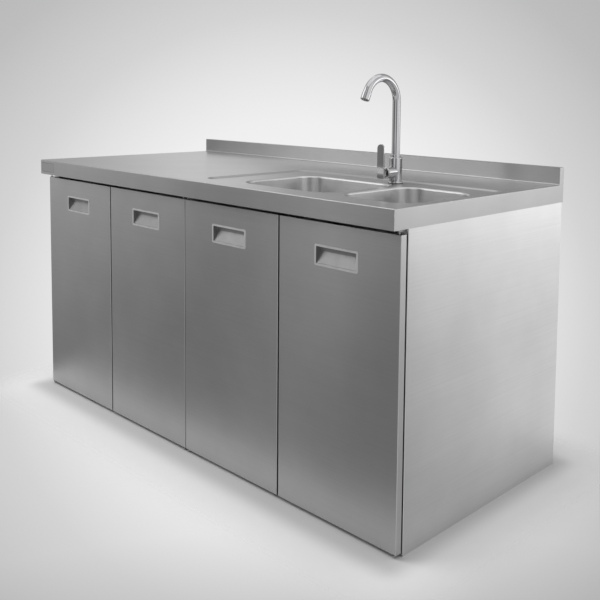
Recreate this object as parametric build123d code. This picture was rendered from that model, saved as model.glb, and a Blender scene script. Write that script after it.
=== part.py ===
from build123d import *
import math
import os

# Kitchen sink unit in brushed sheet steel. Millimetres, +Z up, +X to the right, front at -Y.
# The origin is on the floor, at the middle of the worktop's outline.

# ---- Overall size ----
WIDTH = 1800.0
DEPTH = 800.0
TOP_Z = 890.0          # height of the flat worktop
APRON_H = 54.0         # folded edge that hangs down round the worktop
UPSTAND_H = 54.0       # rise of the upstand above the worktop
UPSTAND_T = 24.0
COVE_R = 5.0           # rounded foot of the upstand
TOP_SHEET = 1.5
FOLD_R = 2.5           # outer radius of the worktop's folded edges
SHEET = 1.2            # carcass and doors
FLANGE = 30.0          # folded edges of the side panels and the partition

# ---- Recess round the bowls ----
RECESS_W = 846.0
RECESS_D = 443.0
RECESS_FROM_END = 18.0     # from the worktop's right end
RECESS_FROM_FRONT = 75.0
RECESS_DEPTH = 5.0
RECESS_SLOPE = 10.0
RECESS_R = 40.0
RECESS_BEND_R = 8.0        # of the bends at the top and foot of its sloping edge

# ---- Bowls, measured over their rims ----
BOWL_D = 320.0
BOWL_FROM_FRONT = 110.0
LEFT_BOWL_W = 394.0
RIGHT_BOWL_W = 273.0
BOWL_BRIDGE = 25.0         # between the bowls
BOWL_FROM_END = 50.0       # from the worktop's right end
BOWL_CORNER_R = 75.0
BOWL_DEPTH = 200.0
BOWL_RIM = 6.0         # width and depth of the rounded rim
BOWL_BOTTOM_R = 30.0
RIM_FLAT = 0.1         # flat left at each side of the rounded rim
WASTE_HOLE_R = 43.0

# ---- Doors ----
DOOR_SETBACK = 32.0    # door faces behind the apron
DOOR_T = 20.0
DOOR_BOTTOM = 10.0
SHADOW_GAP = 14.0      # apron to door tops
DOOR_END = 4.0         # outer door edges in from the worktop's ends
PAIR_GAP = 6.0         # between the free edges of a pair
HINGE_GAP = 3.0        # between the two doors hinged at the partition
CARCASS_GAP = 4.0      # door backs to carcass
DOOR_FOLD_R = 1.5

# ---- Finger cups ----
CUP_W = 160.0
CUP_H = 58.0
CUP_DROP = 60.0        # from the door's top edge
CUP_FRAME = 5.0
CUP_FRAME_T = 1.0
CUP_SHEET = 1.0
CUP_DEPTH = 16.0
CUP_FOOT = 2.0         # depth of the scoop at its lower edge
CUP_THROAT = 14.0      # height of the scoop's deepest part
CUP_CLEARANCE = 0.2
CUP_R = 6.0

# ---- Door pivots ----
PIVOT_IN = 10.0        # from the hinge edge
PIVOT_BACK = 4.5       # behind the door face
PIN_R = 2.0
PIN_CLEARANCE = 0.05
PIN_HEAD_R = 3.5
PIN_HEAD_H = 1.2
BUSH_R = 3.0
BUSH_FLANGE_R = 5.0
BUSH_TOP_FLANGE = 1.0
BUSH_FOOT_FLANGE = 2.0
BUSH_LENGTH = 12.0
PIN_REACH = 10.0       # length of pin inside the door
BRACKET_T = 3.0
BRACKET_W = 22.0
BRACKET_TONGUE_W = 9.0
BRACKET_SCREW_R = 2.0
BRACKET_SCREW_Y = (6.0, 18.0)   # behind the carcass's front edges
BRACKET_SCREW_LENGTH = 8.0
SCREW_HEAD_R = 3.5
SCREW_HEAD_H = 2.2

# ---- Carcass ----
SHELF_Z = 80.0         # top of the base shelf
SHELF_LIP = 25.0
BACK_INSET = 5.0       # side panels' rear edges in front of the worktop's back
RAIL_FOOT_W = 25.0
RAIL_TOP_W = 16.0
MID_SHELF_Z = 450.0
MID_SHELF_LIP = 30.0
MID_SHELF_FRONT = -300.0
MID_SHELF_CLEARANCE = 1.0
SHELF_CLIP_W = 30.0
SHELF_CLIP_T = 2.0
SHELF_CLIP_FRONT = 40.0    # behind the shelf's front edge
SHELF_CLIP_REAR = 64.0     # in front of the back panel
NOTCH_CLEARANCE = 2.0      # partition to the brackets' screw heads
STIFFENER_X = (-720.0, -440.0, -150.0)
STIFFENER_W = 60.0
STIFFENER_H = 30.0
STIFFENER_FLANGE = 15.0
SERVICE_W = 300.0
SERVICE_FROM_SIDE = 37.0
SERVICE_Z = (330.0, 620.0)
FOOT_R = 25.0
FOOT_H = 12.0
FOOT_STUD_R = 5.0
FOOT_NUT_R = 9.0
FOOT_NUT_T = 8.0
FOOT_INSET = 63.0      # from the carcass's front and back
CATCH_W = 30.0
CATCH_H = 25.0
CATCH_GAP = 0.5
CATCH_FROM_EDGE = 30.0
PLATE_W = 95.0
PLATE_H = 36.0
PLATE_T = 0.5
PLATE_FROM_END = 6.0

# ---- Wastes and trap ----
PIPE_R = 20.0
PIPE_WALL = 2.0
SOCKET_R = 24.0
SOCKET_CLEARANCE = 0.2
NUT_R = 31.0
NUT_SOCKET_PART = 12.0
NUT_PIPE_PART = 8.0
NUT_GRIPS = 8          # scooped grips round the nut
NUT_GRIP_R = 4.0
NUT_GRIP_OUT = 2.0     # grips' middles outside the nut
PIPE_INSERT = 15.0     # depth of a pipe's end in its socket
WASTE_FLANGE_R = 57.0
WASTE_FLANGE_T = 2.0
WASTE_R = 42.8
WASTE_BORE_R = 37.0
WASTE_MOUTH_R = 40.0
WASTE_MOUTH_DEPTH = 7.0
WASTE_BOTTOM = 45.0    # below the bowl's floor
WASTE_FLOOR_T = 2.0
WASTE_SPIGOT = 28.0
GASKET_T = 3.0
GASKET_R = 56.0
LOCKNUT_T = 12.0
LOCKNUT_R = 54.0
BASKET_RIM_R = 39.5
BASKET_R = 36.5
BASKET_WALL = 1.0
BASKET_DEPTH = 26.0
BASKET_HOLES = 12
BASKET_HOLE_R = 2.5
BASKET_HOLE_PCD_R = 24.0
BASKET_KNOB_R = 8.0
BASKET_STEM_R = 4.0
BASKET_KNOB_T = 4.0
BASKET_STEM_H = 30.0
TEE_TOP_Z = 550.0
TEE_BRANCH_Z = 510.0
TEE_BRANCH = 60.0
TEE_FOOT_Z = 470.0
TEE_SPIGOT = 40.0
LINK_BEND_R = 45.0
TRAP_TOP_Z = 450.0
TRAP_SHOULDER_Z = 425.0
TRAP_BODY_R = 40.0
TRAP_WALL = 3.0
TRAP_FOOT_Z = 330.0
TRAP_OUTLET_Z = 385.0
TRAP_OUTLET_REACH = 70.0
TRAP_DIP = 20.0        # dip tube below the body
TRAP_CUP_R = 44.0
TRAP_CUP_ROUND = 12.0
TRAP_CUP_TOP_Z = 350.0
TRAP_CUP_FOOT_Z = 255.0
OUTLET_END_GAP = 1.0   # outlet pipe's end inside the unit's back
OUTLET_SPIGOT = 55.0
OUTLET_BEAD_R = 21.5
OUTLET_BEAD_W = 3.0

# ---- Tap ----
TAP_FROM_END = 397.0   # from the worktop's right end
TAP_BEHIND_BOWLS = 34.0
TAP_HOLE_R = 17.5
TAP_GASKET_R = 23.0
TAP_GASKET_T = 2.0
TAP_BASE_R = 23.5
TAP_BASE_H = 4.0
TAP_BASE_ROUND = 2.0
TAP_OPENING_R = 16.0
TAP_BODY_R = 20.5
TAP_BODY_H = 76.0
TAP_TOP_ROUND = 4.0
BRANCH_Z = 35.0        # lever branch's axis above the ledge
BRANCH_R = 18.0
BRANCH_REACH = 42.0
CARTRIDGE_R = 15.0
CARTRIDGE_LENGTH = 38.0
BONNET_LENGTH = 8.0
BONNET_HOLE_R = 9.0
BONNET_ROUND = 5.0
SPINDLE_R = 5.0
SPINDLE_DEPTH = 22.0   # inside the cartridge
SPINDLE_END_GAP = 0.5
SPINDLE_FLAT = 0.5     # taken off the spindle above and below the tongue
SPINDLE_NECK = 7.0     # from the branch's mouth to the tongue
RUN_CLEARANCE = 0.05
LEVER_PIVOT_REACH = 58.0
LEVER_REACH = 69.0     # paddle's middle in front of the tap's axis
LEVER_W = 28.0
LEVER_T = 5.0
LEVER_RISE = 90.0      # above the branch's axis
LEVER_DROP = 17.0      # below it
LEVER_HUB_W = 20.0
LEVER_HUB_H = 18.0
LEVER_HUB_BACK = 3.0
LEVER_HUB_SINK = 2.0   # hub's overlap with the paddle
LEVER_ROUND = 1.5
LEVER_FOOT_R = 6.0     # paddle's lower corners
TONGUE_T = 6.0
TONGUE_R = 6.0
TONGUE_GAP = 0.3
LEVER_PIN_R = 1.95
SPOUT_R = 13.0
SPOUT_BORE_R = 10.0
SPOUT_FOOT_R = 12.0
SPOUT_FOOT = 24.0
SPOUT_FOOT_CLEARANCE = 0.05
SPOUT_FOOT_GAP = 1.0   # below the foot, in the body's socket
SPOUT_GAP = 0.3
SPOUT_COLLAR_R = 16.0
SPOUT_COLLAR_H = 8.0
SPOUT_COLLAR_ROUND = 1.2
SPOUT_ARCH_Z = 255.0   # start of the arch above the ledge
SPOUT_ARCH_R = 70.0
SPOUT_ARCH_TURN = 155.0
SPOUT_TIP = 28.0
AERATOR_R = 14.0
AERATOR_LENGTH = 22.0
AERATOR_DISC_T = 3.0
AERATOR_DISC_IN = 3.0
AERATOR_DISC_EDGE = 0.5    # disc's overlap with the housing
AERATOR_CHAMFER = 0.8
AERATOR_HOLE_R = 1.2
AERATOR_RINGS = ((0.0, 1), (3.4, 6), (7.0, 12))   # radius and number of holes
INLET_R = 5.0
INLET_DEPTH = 12.0
INLET_X = 8.0
INLET_Y = -4.0
STUD_R = 4.0
STUD_Y = 11.0
STUD_DEPTH = 10.0
STUD_TAIL = 45.0       # stud below the ledge
WASHER_R = 26.0
WASHER_T = 3.0
WASHER_SLOT = 28.0
WASHER_SLOT_Y = 6.0
NUT_ACROSS_R = 7.5
NUT_T = 6.5

# ---- Modelling allowances ----
PAST = 1.0             # how far a cutter runs past what it cuts
TOUCH = 0.01           # nearness that picks an edge

# ---- Values that follow from the above ----
HALF_W = WIDTH / 2
HALF_D = DEPTH / 2
RECESS_RIGHT = HALF_W - RECESS_FROM_END
RECESS_LEFT = RECESS_RIGHT - RECESS_W
RECESS_FRONT = -HALF_D + RECESS_FROM_FRONT
RECESS_BACK = RECESS_FRONT + RECESS_D
RECESS_X = (RECESS_LEFT + RECESS_RIGHT) / 2
RECESS_Y = (RECESS_FRONT + RECESS_BACK) / 2
RIGHT_BOWL_X = (HALF_W - BOWL_FROM_END - RIGHT_BOWL_W, HALF_W - BOWL_FROM_END)
LEFT_BOWL_END = RIGHT_BOWL_X[0] - BOWL_BRIDGE
LEFT_BOWL_X = (LEFT_BOWL_END - LEFT_BOWL_W, LEFT_BOWL_END)
BOWL_FRONT = -HALF_D + BOWL_FROM_FRONT
BOWL_BACK = BOWL_FRONT + BOWL_D
TAP_X = HALF_W - TAP_FROM_END
TAP_Y = BOWL_BACK + TAP_BEHIND_BOWLS
APRON_Z = TOP_Z - APRON_H
UNDER_TOP_Z = TOP_Z - TOP_SHEET
DECK_Z = TOP_Z - RECESS_DEPTH
UNDER_DECK_Z = DECK_Z - TOP_SHEET
PANEL_X = HALF_W - TOP_SHEET          # side panels stand just inside the aprons
DOOR_FRONT = -HALF_D + DOOR_SETBACK
DOOR_BACK = DOOR_FRONT + DOOR_T
DOOR_TOP = APRON_Z - SHADOW_GAP
CARCASS_FRONT = DOOR_BACK + CARCASS_GAP
CARCASS_BACK = HALF_D - BACK_INSET
INNER_FRONT = CARCASS_FRONT + SHEET
INNER_BACK = CARCASS_BACK - SHEET
INNER_X = PANEL_X - SHEET
SERVICE_X = (INNER_X - SERVICE_FROM_SIDE - SERVICE_W, INNER_X - SERVICE_FROM_SIDE)
FOOT_Y = (INNER_FRONT + FOOT_INSET, INNER_BACK - FOOT_INSET)
PIVOT_Y = DOOR_FRONT + PIVOT_BACK
FOOT_BRACKET_Z = DOOR_BOTTOM - BUSH_FOOT_FLANGE - BRACKET_T
SHELF_LIP_Z = FOOT_BRACKET_Z + BRACKET_T
RAIL_Z = APRON_Z - BRACKET_T
TOP_BRACKET_Z = RAIL_Z - BRACKET_T
BOWL_FLOOR_Z = DECK_Z - BOWL_DEPTH
BOWL_Y = (BOWL_FRONT + BOWL_BACK) / 2
LEFT_WASTE_X = sum(LEFT_BOWL_X) / 2
RIGHT_WASTE_X = sum(RIGHT_BOWL_X) / 2
WASTE_MOUTH_Z = BOWL_FLOOR_Z - WASTE_BOTTOM - WASTE_SPIGOT
TAP_FOOT_Z = DECK_Z + TAP_GASKET_T + TAP_BASE_H
TAP_TOP_Z = TAP_FOOT_Z + TAP_BODY_H
LEVER_Z = DECK_Z + BRANCH_Z
OUTER_DOOR_X = HALF_W - DOOR_END
DOOR_PITCH = OUTER_DOOR_X / 2

# Each door: name, left edge, right edge, side of its hinge (-1 left, 1 right).
DOORS = [
    ("door_1", -OUTER_DOOR_X, -DOOR_PITCH - PAIR_GAP / 2, -1),
    ("door_2", -DOOR_PITCH + PAIR_GAP / 2, -HINGE_GAP / 2, 1),
    ("door_3", HINGE_GAP / 2, DOOR_PITCH - PAIR_GAP / 2, -1),
    ("door_4", DOOR_PITCH + PAIR_GAP / 2, OUTER_DOOR_X, 1),
]


# ---- Small helpers ----
def block(x0, x1, y0, y1, z0, z1):
    """Box between two corners."""
    middle = ((x0 + x1) / 2, (y0 + y1) / 2, (z0 + z1) / 2)
    return Pos(*middle) * Box(x1 - x0, y1 - y0, z1 - z0)


def rod(x, y, z0, z1, radius):
    """Upright cylinder between two heights."""
    return Pos(x, y, (z0 + z1) / 2) * Cylinder(radius, z1 - z0)


def rod_y(x, y0, y1, z, radius):
    """Cylinder along Y."""
    return Pos(x, (y0 + y1) / 2, z) * Rot(90, 0, 0) * Cylinder(radius, y1 - y0)


def rod_x(x0, x1, y, z, radius):
    """Cylinder along X."""
    return Pos((x0 + x1) / 2, y, z) * Rot(0, 90, 0) * Cylinder(radius, x1 - x0)


def rounded_block(x0, x1, y0, y1, z0, z1, radius):
    """Box with rounded upright edges."""
    outline = RectangleRounded(x1 - x0, y1 - y0, radius)
    return Pos((x0 + x1) / 2, (y0 + y1) / 2, z0) * extrude(outline, z1 - z0)


def profile_x(points, x0, x1):
    """Prism along X with the closed outline (y, z)."""
    face = make_face(Polyline([(x0, y, z) for y, z in points], close=True))
    return extrude(face, x1 - x0, dir=(1, 0, 0))


def save(name, shape):
    export_step(shape, f"parts/{name}.step")


def door_pivot_x(door):
    name, left, right, side = door
    return left + PIVOT_IN if side < 0 else right - PIVOT_IN


# ---- Worktop ----
def worktop_section(inset, foot_z, x0, x1):
    """Solid section of worktop and upstand, drawn the sheet's thickness in for the hollow below."""
    front = -HALF_D + inset
    back = HALF_D - inset
    top = TOP_Z - inset
    face_y = HALF_D - UPSTAND_T + inset
    cove = COVE_R + inset
    bulge = cove * (1 - math.sqrt(0.5))
    middle = (x0, face_y - bulge, top + bulge)
    outline = [
        Line((x0, front, foot_z), (x0, front, top)),
        Line((x0, front, top), (x0, face_y - cove, top)),
        ThreePointArc((x0, face_y - cove, top), middle, (x0, face_y, top + cove)),
        Line((x0, face_y, top + cove), (x0, face_y, TOP_Z + UPSTAND_H - inset)),
        Line((x0, face_y, TOP_Z + UPSTAND_H - inset), (x0, back, TOP_Z + UPSTAND_H - inset)),
        Line((x0, back, TOP_Z + UPSTAND_H - inset), (x0, back, foot_z)),
        Line((x0, back, foot_z), (x0, front, foot_z)),
    ]
    return extrude(make_face(Wire(outline)), x1 - x0, dir=(1, 0, 0))


def recess_dish(drop):
    """Frustum between the recess's outline and its floor."""
    mouth = RectangleRounded(RECESS_W, RECESS_D, RECESS_R)
    floor = RectangleRounded(RECESS_W - 2 * RECESS_SLOPE, RECESS_D - 2 * RECESS_SLOPE,
                             RECESS_R - RECESS_SLOPE)
    top = Pos(RECESS_X, RECESS_Y, TOP_Z - drop) * mouth
    bottom = Pos(RECESS_X, RECESS_Y, DECK_Z - drop) * floor
    return loft([top, bottom], ruled=True)


def on_recess_bend(edge):
    """True for the edges at the top and foot of the recess's sloping border."""
    point = edge @ 0.5
    inside = abs(point.X - RECESS_X) < RECESS_W / 2 + TOUCH
    inside = inside and abs(point.Y - RECESS_Y) < RECESS_D / 2 + TOUCH
    level = min(abs(point.Z - TOP_Z), abs(point.Z - DECK_Z)) < TOUCH
    return inside and level


def bowl_rim_block(span, z0, z1, inset=0.0):
    return rounded_block(span[0] + inset, span[1] - inset, BOWL_FRONT + inset, BOWL_BACK - inset,
                         z0, z1, BOWL_CORNER_R - inset)


def worktop():
    shell = worktop_section(0, APRON_Z, -HALF_W, HALF_W)
    folds = [edge for edge in shell.edges().filter_by(Axis.Y)
             if abs(edge.center().Z - TOP_Z) < TOUCH]
    folds += [edge for edge in shell.edges().filter_by(Axis.X)
              if abs(edge.center().Z - TOP_Z) < TOUCH and edge.center().Y < -HALF_D + TOUCH]
    shell = fillet(folds, FOLD_R)
    shell -= worktop_section(TOP_SHEET, APRON_Z - PAST, -HALF_W + TOP_SHEET, HALF_W - TOP_SHEET)
    shell = shell + recess_dish(TOP_SHEET) - recess_dish(0)
    shell = fillet([edge for edge in shell.edges() if on_recess_bend(edge)], RECESS_BEND_R)
    for span in (LEFT_BOWL_X, RIGHT_BOWL_X):
        shell -= bowl_rim_block(span, UNDER_DECK_Z - PAST, DECK_Z + PAST)
    shell -= rod(TAP_X, TAP_Y, UNDER_DECK_Z - PAST, DECK_Z + PAST, TAP_HOLE_R)
    return shell - name_plate()


def name_plate():
    """Bare plate let into the left end of the front apron."""
    left = -HALF_W + PLATE_FROM_END
    foot = (APRON_Z + TOP_Z - PLATE_H) / 2
    return block(left, left + PLATE_W, -HALF_D, -HALF_D + PLATE_T, foot, foot + PLATE_H)


def worktop_stiffeners():
    """Hat sections across the worktop's underside, between the rails."""
    y0 = INNER_FRONT + RAIL_FOOT_W
    y1 = INNER_BACK - RAIL_FOOT_W
    foot = UNDER_TOP_Z - STIFFENER_H
    group = []
    for x in STIFFENER_X:
        half = STIFFENER_W / 2
        hat = block(x - half, x + half, y0, y1, foot, UNDER_TOP_Z)
        hat -= block(x - half + SHEET, x + half - SHEET, y0, y1, foot + SHEET, UNDER_TOP_Z)
        for side in (-1, 1):
            edges = sorted((x + side * half, x + side * (half + STIFFENER_FLANGE)))
            hat += block(*edges, y0, y1, UNDER_TOP_Z - SHEET, UNDER_TOP_Z)
        group.append(hat)
    return Compound(group)


def bowl(span):
    """Pressed bowl whose rounded rim fills the opening in the worktop."""
    wall = BOWL_RIM - SHEET
    skirt = bowl_rim_block(span, DECK_Z - BOWL_RIM, DECK_Z)
    body = bowl_rim_block(span, BOWL_FLOOR_Z - SHEET, DECK_Z - BOWL_RIM, wall)
    body = fillet(body.edges().group_by(Axis.Z)[0], BOWL_BOTTOM_R + SHEET)
    hollow = bowl_rim_block(span, BOWL_FLOOR_Z, DECK_Z, BOWL_RIM)
    hollow = fillet(hollow.edges().group_by(Axis.Z)[0], BOWL_BOTTOM_R)
    shell = skirt + body - hollow
    x = sum(span) / 2
    shell -= rod(x, BOWL_Y, BOWL_FLOOR_Z - SHEET - PAST, BOWL_FLOOR_Z + PAST, WASTE_HOLE_R)
    inner_rim = [edge for edge in shell.edges()
                 if abs(edge.center().Z - DECK_Z) < TOUCH
                 and span[0] + BOWL_RIM - TOUCH < edge.center().X < span[1] - BOWL_RIM + TOUCH
                 and BOWL_FRONT + BOWL_RIM - TOUCH < edge.center().Y < BOWL_BACK - BOWL_RIM + TOUCH
                 and not on_rim_outline(edge, span)]
    return fillet(inner_rim, BOWL_RIM - RIM_FLAT)


def on_rim_outline(edge, span):
    """True for the outer corner arcs of a bowl's rim."""
    point = edge @ 0.5
    dx = min(point.X - span[0], span[1] - point.X)
    dy = min(point.Y - BOWL_FRONT, BOWL_BACK - point.Y)
    if dx >= BOWL_CORNER_R or dy >= BOWL_CORNER_R:
        return min(dx, dy) < BOWL_RIM / 2
    corner = math.hypot(BOWL_CORNER_R - dx, BOWL_CORNER_R - dy)
    return corner > BOWL_CORNER_R - BOWL_RIM / 2


# ---- Carcass ----
def side_panel(side):
    """Tray with folded front, rear and foot edges; the front fold is cut clear of the brackets."""
    x0, x1 = sorted((side * PANEL_X, side * (PANEL_X - FLANGE)))
    tray = block(x0, x1, CARCASS_FRONT, CARCASS_BACK, 0, UNDER_TOP_Z)
    bends = [edge for edge in tray.edges().filter_by(Axis.Z)
             if abs(edge.center().X - side * PANEL_X) < TOUCH and edge.center().Y < 0]
    tray = fillet(bends, DOOR_FOLD_R)
    a0, a1 = sorted((side * INNER_X, side * (PANEL_X - FLANGE)))
    tray -= block(a0, a1, INNER_FRONT, INNER_BACK, SHEET, UNDER_TOP_Z)
    tray -= block(a0, a1, CARCASS_FRONT, INNER_FRONT, SHEET, SHELF_LIP_Z)
    tray -= block(a0, a1, CARCASS_FRONT, INNER_FRONT, TOP_BRACKET_Z, UNDER_TOP_Z)
    return tray


def centre_partition():
    """Upright tray between the bays, notched round the top brackets."""
    half = FLANGE / 2
    y1 = INNER_BACK - SHEET
    tray = block(-half, half, CARCASS_FRONT, y1, SHELF_Z, TOP_BRACKET_Z)
    tray -= block(-half + SHEET, half, INNER_FRONT, y1 - SHEET, SHELF_Z + SHEET, TOP_BRACKET_Z)
    notch_z = TOP_BRACKET_Z - SCREW_HEAD_H - NOTCH_CLEARANCE
    return tray - block(-half, half, CARCASS_FRONT, INNER_FRONT + RAIL_FOOT_W, notch_z, TOP_BRACKET_Z)


def back_panel():
    plate = block(-INNER_X, INNER_X, INNER_BACK - SHEET, INNER_BACK, SHELF_LIP_Z, RAIL_Z)
    return plate - block(*SERVICE_X, INNER_BACK - 2 * SHEET, INNER_BACK + SHEET, *SERVICE_Z)


def bracket_screw_points(door):
    x = door_pivot_x(door)
    return [(x, INNER_FRONT + y) for y in BRACKET_SCREW_Y]


def base_shelf():
    """Shelf with edges folded down and in."""
    y1 = INNER_BACK - SHEET
    tray = block(-INNER_X, INNER_X, INNER_FRONT, y1, SHELF_LIP_Z, SHELF_Z)
    tray -= block(-INNER_X, INNER_X, INNER_FRONT + SHEET, y1 - SHEET,
                  SHELF_LIP_Z + SHEET, SHELF_Z - SHEET)
    tray -= block(-INNER_X, INNER_X, INNER_FRONT + SHELF_LIP, y1 - SHELF_LIP,
                  SHELF_LIP_Z, SHELF_LIP_Z + SHEET)
    for door in DOORS:
        for x, y in bracket_screw_points(door):
            tray -= rod(x, y, SHELF_LIP_Z, SHELF_LIP_Z + SHEET, BRACKET_SCREW_R)
    for y in FOOT_Y:
        tray -= rod(0, y, SHELF_Z - SHEET, SHELF_Z, FOOT_STUD_R)
    return tray


def rail(front):
    """C-shaped rail under the worktop; its foot is wider than its top."""
    if front:
        web = (INNER_FRONT, INNER_FRONT + SHEET)
        foot = (INNER_FRONT, INNER_FRONT + RAIL_FOOT_W)
        top = (INNER_FRONT, INNER_FRONT + RAIL_TOP_W)
    else:
        web = (INNER_BACK - SHEET, INNER_BACK)
        foot = (INNER_BACK - RAIL_FOOT_W, INNER_BACK)
        top = (INNER_BACK - RAIL_TOP_W, INNER_BACK)
    channel = block(-INNER_X, INNER_X, *web, RAIL_Z, UNDER_TOP_Z)
    channel += block(-INNER_X, INNER_X, *foot, RAIL_Z, RAIL_Z + SHEET)
    channel += block(-INNER_X, INNER_X, *top, UNDER_TOP_Z - SHEET, UNDER_TOP_Z)
    if front:
        for door in DOORS:
            for x, y in bracket_screw_points(door):
                channel -= rod(x, y, RAIL_Z, RAIL_Z + SHEET, BRACKET_SCREW_R)
    return channel


def middle_shelf():
    """Shelf of the left bay, resting on four clips."""
    x0 = -INNER_X + MID_SHELF_CLEARANCE
    x1 = -FLANGE / 2 - MID_SHELF_CLEARANCE
    y1 = INNER_BACK - SHEET - MID_SHELF_CLEARANCE
    foot = MID_SHELF_Z - MID_SHELF_LIP
    tray = block(x0, x1, MID_SHELF_FRONT, y1, foot, MID_SHELF_Z)
    return tray - block(x0, x1, MID_SHELF_FRONT + SHEET, y1 - SHEET, foot, MID_SHELF_Z - SHEET)


def shelf_clips():
    """Angle clips on the side panel and the partition."""
    top = MID_SHELF_Z - SHEET
    rear = INNER_BACK - SHELF_CLIP_REAR - SHELF_CLIP_W
    group = []
    for x, side in ((-INNER_X, 1), (-FLANGE / 2, -1)):
        for y in (MID_SHELF_FRONT + SHELF_CLIP_FRONT, rear):
            a0, a1 = sorted((x, x + side * SHELF_CLIP_W))
            b0, b1 = sorted((x, x + side * SHELF_CLIP_T))
            clip = block(a0, a1, y, y + SHELF_CLIP_W, top - SHELF_CLIP_T, top)
            clip += block(b0, b1, y, y + SHELF_CLIP_W, top - SHELF_CLIP_W, top)
            group.append(clip)
    return Compound(group)


def centre_feet():
    """Two levelling feet under the middle of the base shelf."""
    group = []
    for y in FOOT_Y:
        foot = rod(0, y, 0, FOOT_H, FOOT_R)
        foot += rod(0, y, FOOT_H, SHELF_Z, FOOT_STUD_R)
        nut = extrude(RegularPolygon(FOOT_NUT_R, 6), FOOT_NUT_T)
        nut = Pos(0, y, SHELF_Z - SHEET - FOOT_NUT_T) * nut
        group.append(foot + nut)
    return Compound(group)


# ---- Hinges and catches ----
def bracket(door, z0, nose_end):
    """Flat pivot bracket: a plate under the rail or shelf lip, and a tongue that carries the pin."""
    x = door_pivot_x(door)
    half = BRACKET_W / 2
    z1 = z0 + BRACKET_T
    plate = block(x - half, x + half, DOOR_BACK, INNER_FRONT + RAIL_FOOT_W - PAST, z0, z1)
    tongue = block(x - BRACKET_TONGUE_W / 2, x + BRACKET_TONGUE_W / 2, PIVOT_Y, DOOR_BACK, z0, z1)
    nose = rod(x, PIVOT_Y, z0, z1, nose_end)
    body = plate + tongue + nose - rod(x, PIVOT_Y, z0, z1, PIN_R)
    for sx, sy in bracket_screw_points(door):
        body -= rod(sx, sy, z0, z1, BRACKET_SCREW_R)
    return body


def hinge_brackets(z0):
    return Compound([bracket(door, z0, BRACKET_TONGUE_W / 2) for door in DOORS])


def hinge_pins():
    """Headed pins riveted through the brackets, one above and one below each door."""
    group = []
    for door in DOORS:
        x = door_pivot_x(door)
        top = rod(x, PIVOT_Y, DOOR_TOP - PIN_REACH, RAIL_Z, PIN_R)
        top += rod(x, PIVOT_Y, RAIL_Z, RAIL_Z + PIN_HEAD_H, PIN_HEAD_R)
        foot = rod(x, PIVOT_Y, FOOT_BRACKET_Z, DOOR_BOTTOM + PIN_REACH, PIN_R)
        foot += rod(x, PIVOT_Y, FOOT_BRACKET_Z - PIN_HEAD_H, FOOT_BRACKET_Z, PIN_HEAD_R)
        group += [top, foot]
    return Compound(group)


def bracket_screws():
    group = []
    for z in (FOOT_BRACKET_Z, TOP_BRACKET_Z):
        for door in DOORS:
            for x, y in bracket_screw_points(door):
                screw = rod(x, y, z, z + BRACKET_SCREW_LENGTH, BRACKET_SCREW_R)
                group.append(screw + rod(x, y, z - SCREW_HEAD_H, z, SCREW_HEAD_R))
    return Compound(group)


def door_catches():
    """Magnetic catches under the front rail, near the doors' free edges."""
    group = []
    for name, left, right, side in DOORS:
        free = right - CATCH_FROM_EDGE if side < 0 else left + CATCH_FROM_EDGE
        group.append(block(free - CATCH_W / 2, free + CATCH_W / 2, DOOR_BACK + CATCH_GAP,
                           INNER_FRONT + RAIL_FOOT_W, RAIL_Z - CATCH_H, RAIL_Z))
    return Compound(group)


# ---- Doors ----
def cup_middle(door):
    name, left, right, side = door
    return (left + right) / 2


def cup_hole(door, grow):
    """Front-to-back block as large as the cup's opening, larger by grow all round."""
    x = cup_middle(door)
    half = CUP_W / 2 - CUP_FRAME + grow
    z1 = DOOR_TOP - CUP_DROP - CUP_FRAME + grow
    z0 = DOOR_TOP - CUP_DROP - CUP_H + CUP_FRAME - grow
    return block(x - half, x + half, DOOR_FRONT - SHEET, DOOR_FRONT + 2 * SHEET, z0, z1)


def door_skin(door):
    """Front sheet folded back on four sides, with a window for the cup and pivot holes."""
    name, left, right, side = door
    pan = block(left, right, DOOR_FRONT, DOOR_BACK, DOOR_BOTTOM, DOOR_TOP)
    front_edges = [edge for edge in pan.edges() if abs(edge.center().Y - DOOR_FRONT) < TOUCH]
    pan = fillet(front_edges, DOOR_FOLD_R)
    pan -= block(left + SHEET, right - SHEET, DOOR_FRONT + SHEET, DOOR_BACK,
                 DOOR_BOTTOM + SHEET, DOOR_TOP - SHEET)
    pan -= cup_hole(door, 0)
    x = door_pivot_x(door)
    pan -= rod(x, PIVOT_Y, DOOR_BOTTOM, DOOR_BOTTOM + SHEET, BUSH_R)
    return pan - rod(x, PIVOT_Y, DOOR_TOP - SHEET, DOOR_TOP, BUSH_R)


def door_liner(door):
    name, left, right, side = door
    return block(left + SHEET, right - SHEET, DOOR_BACK - SHEET, DOOR_BACK,
                 DOOR_BOTTOM + SHEET, DOOR_TOP - SHEET)


def scoop(door, inset, front):
    """Wedge of the finger cup: shallow at its foot, deepest along its top."""
    x = cup_middle(door)
    half = CUP_W / 2 - CUP_FRAME - CUP_CLEARANCE - inset
    z1 = DOOR_TOP - CUP_DROP - CUP_FRAME - CUP_CLEARANCE - inset
    z0 = DOOR_TOP - CUP_DROP - CUP_H + CUP_FRAME + CUP_CLEARANCE + inset
    foot = DOOR_FRONT + CUP_FOOT - inset
    deep = DOOR_FRONT + CUP_DEPTH - inset
    points = [(front, z0), (foot, z0), (deep, z1 - CUP_THROAT), (deep, z1), (front, z1)]
    return profile_x(points, x - half, x + half)


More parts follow.
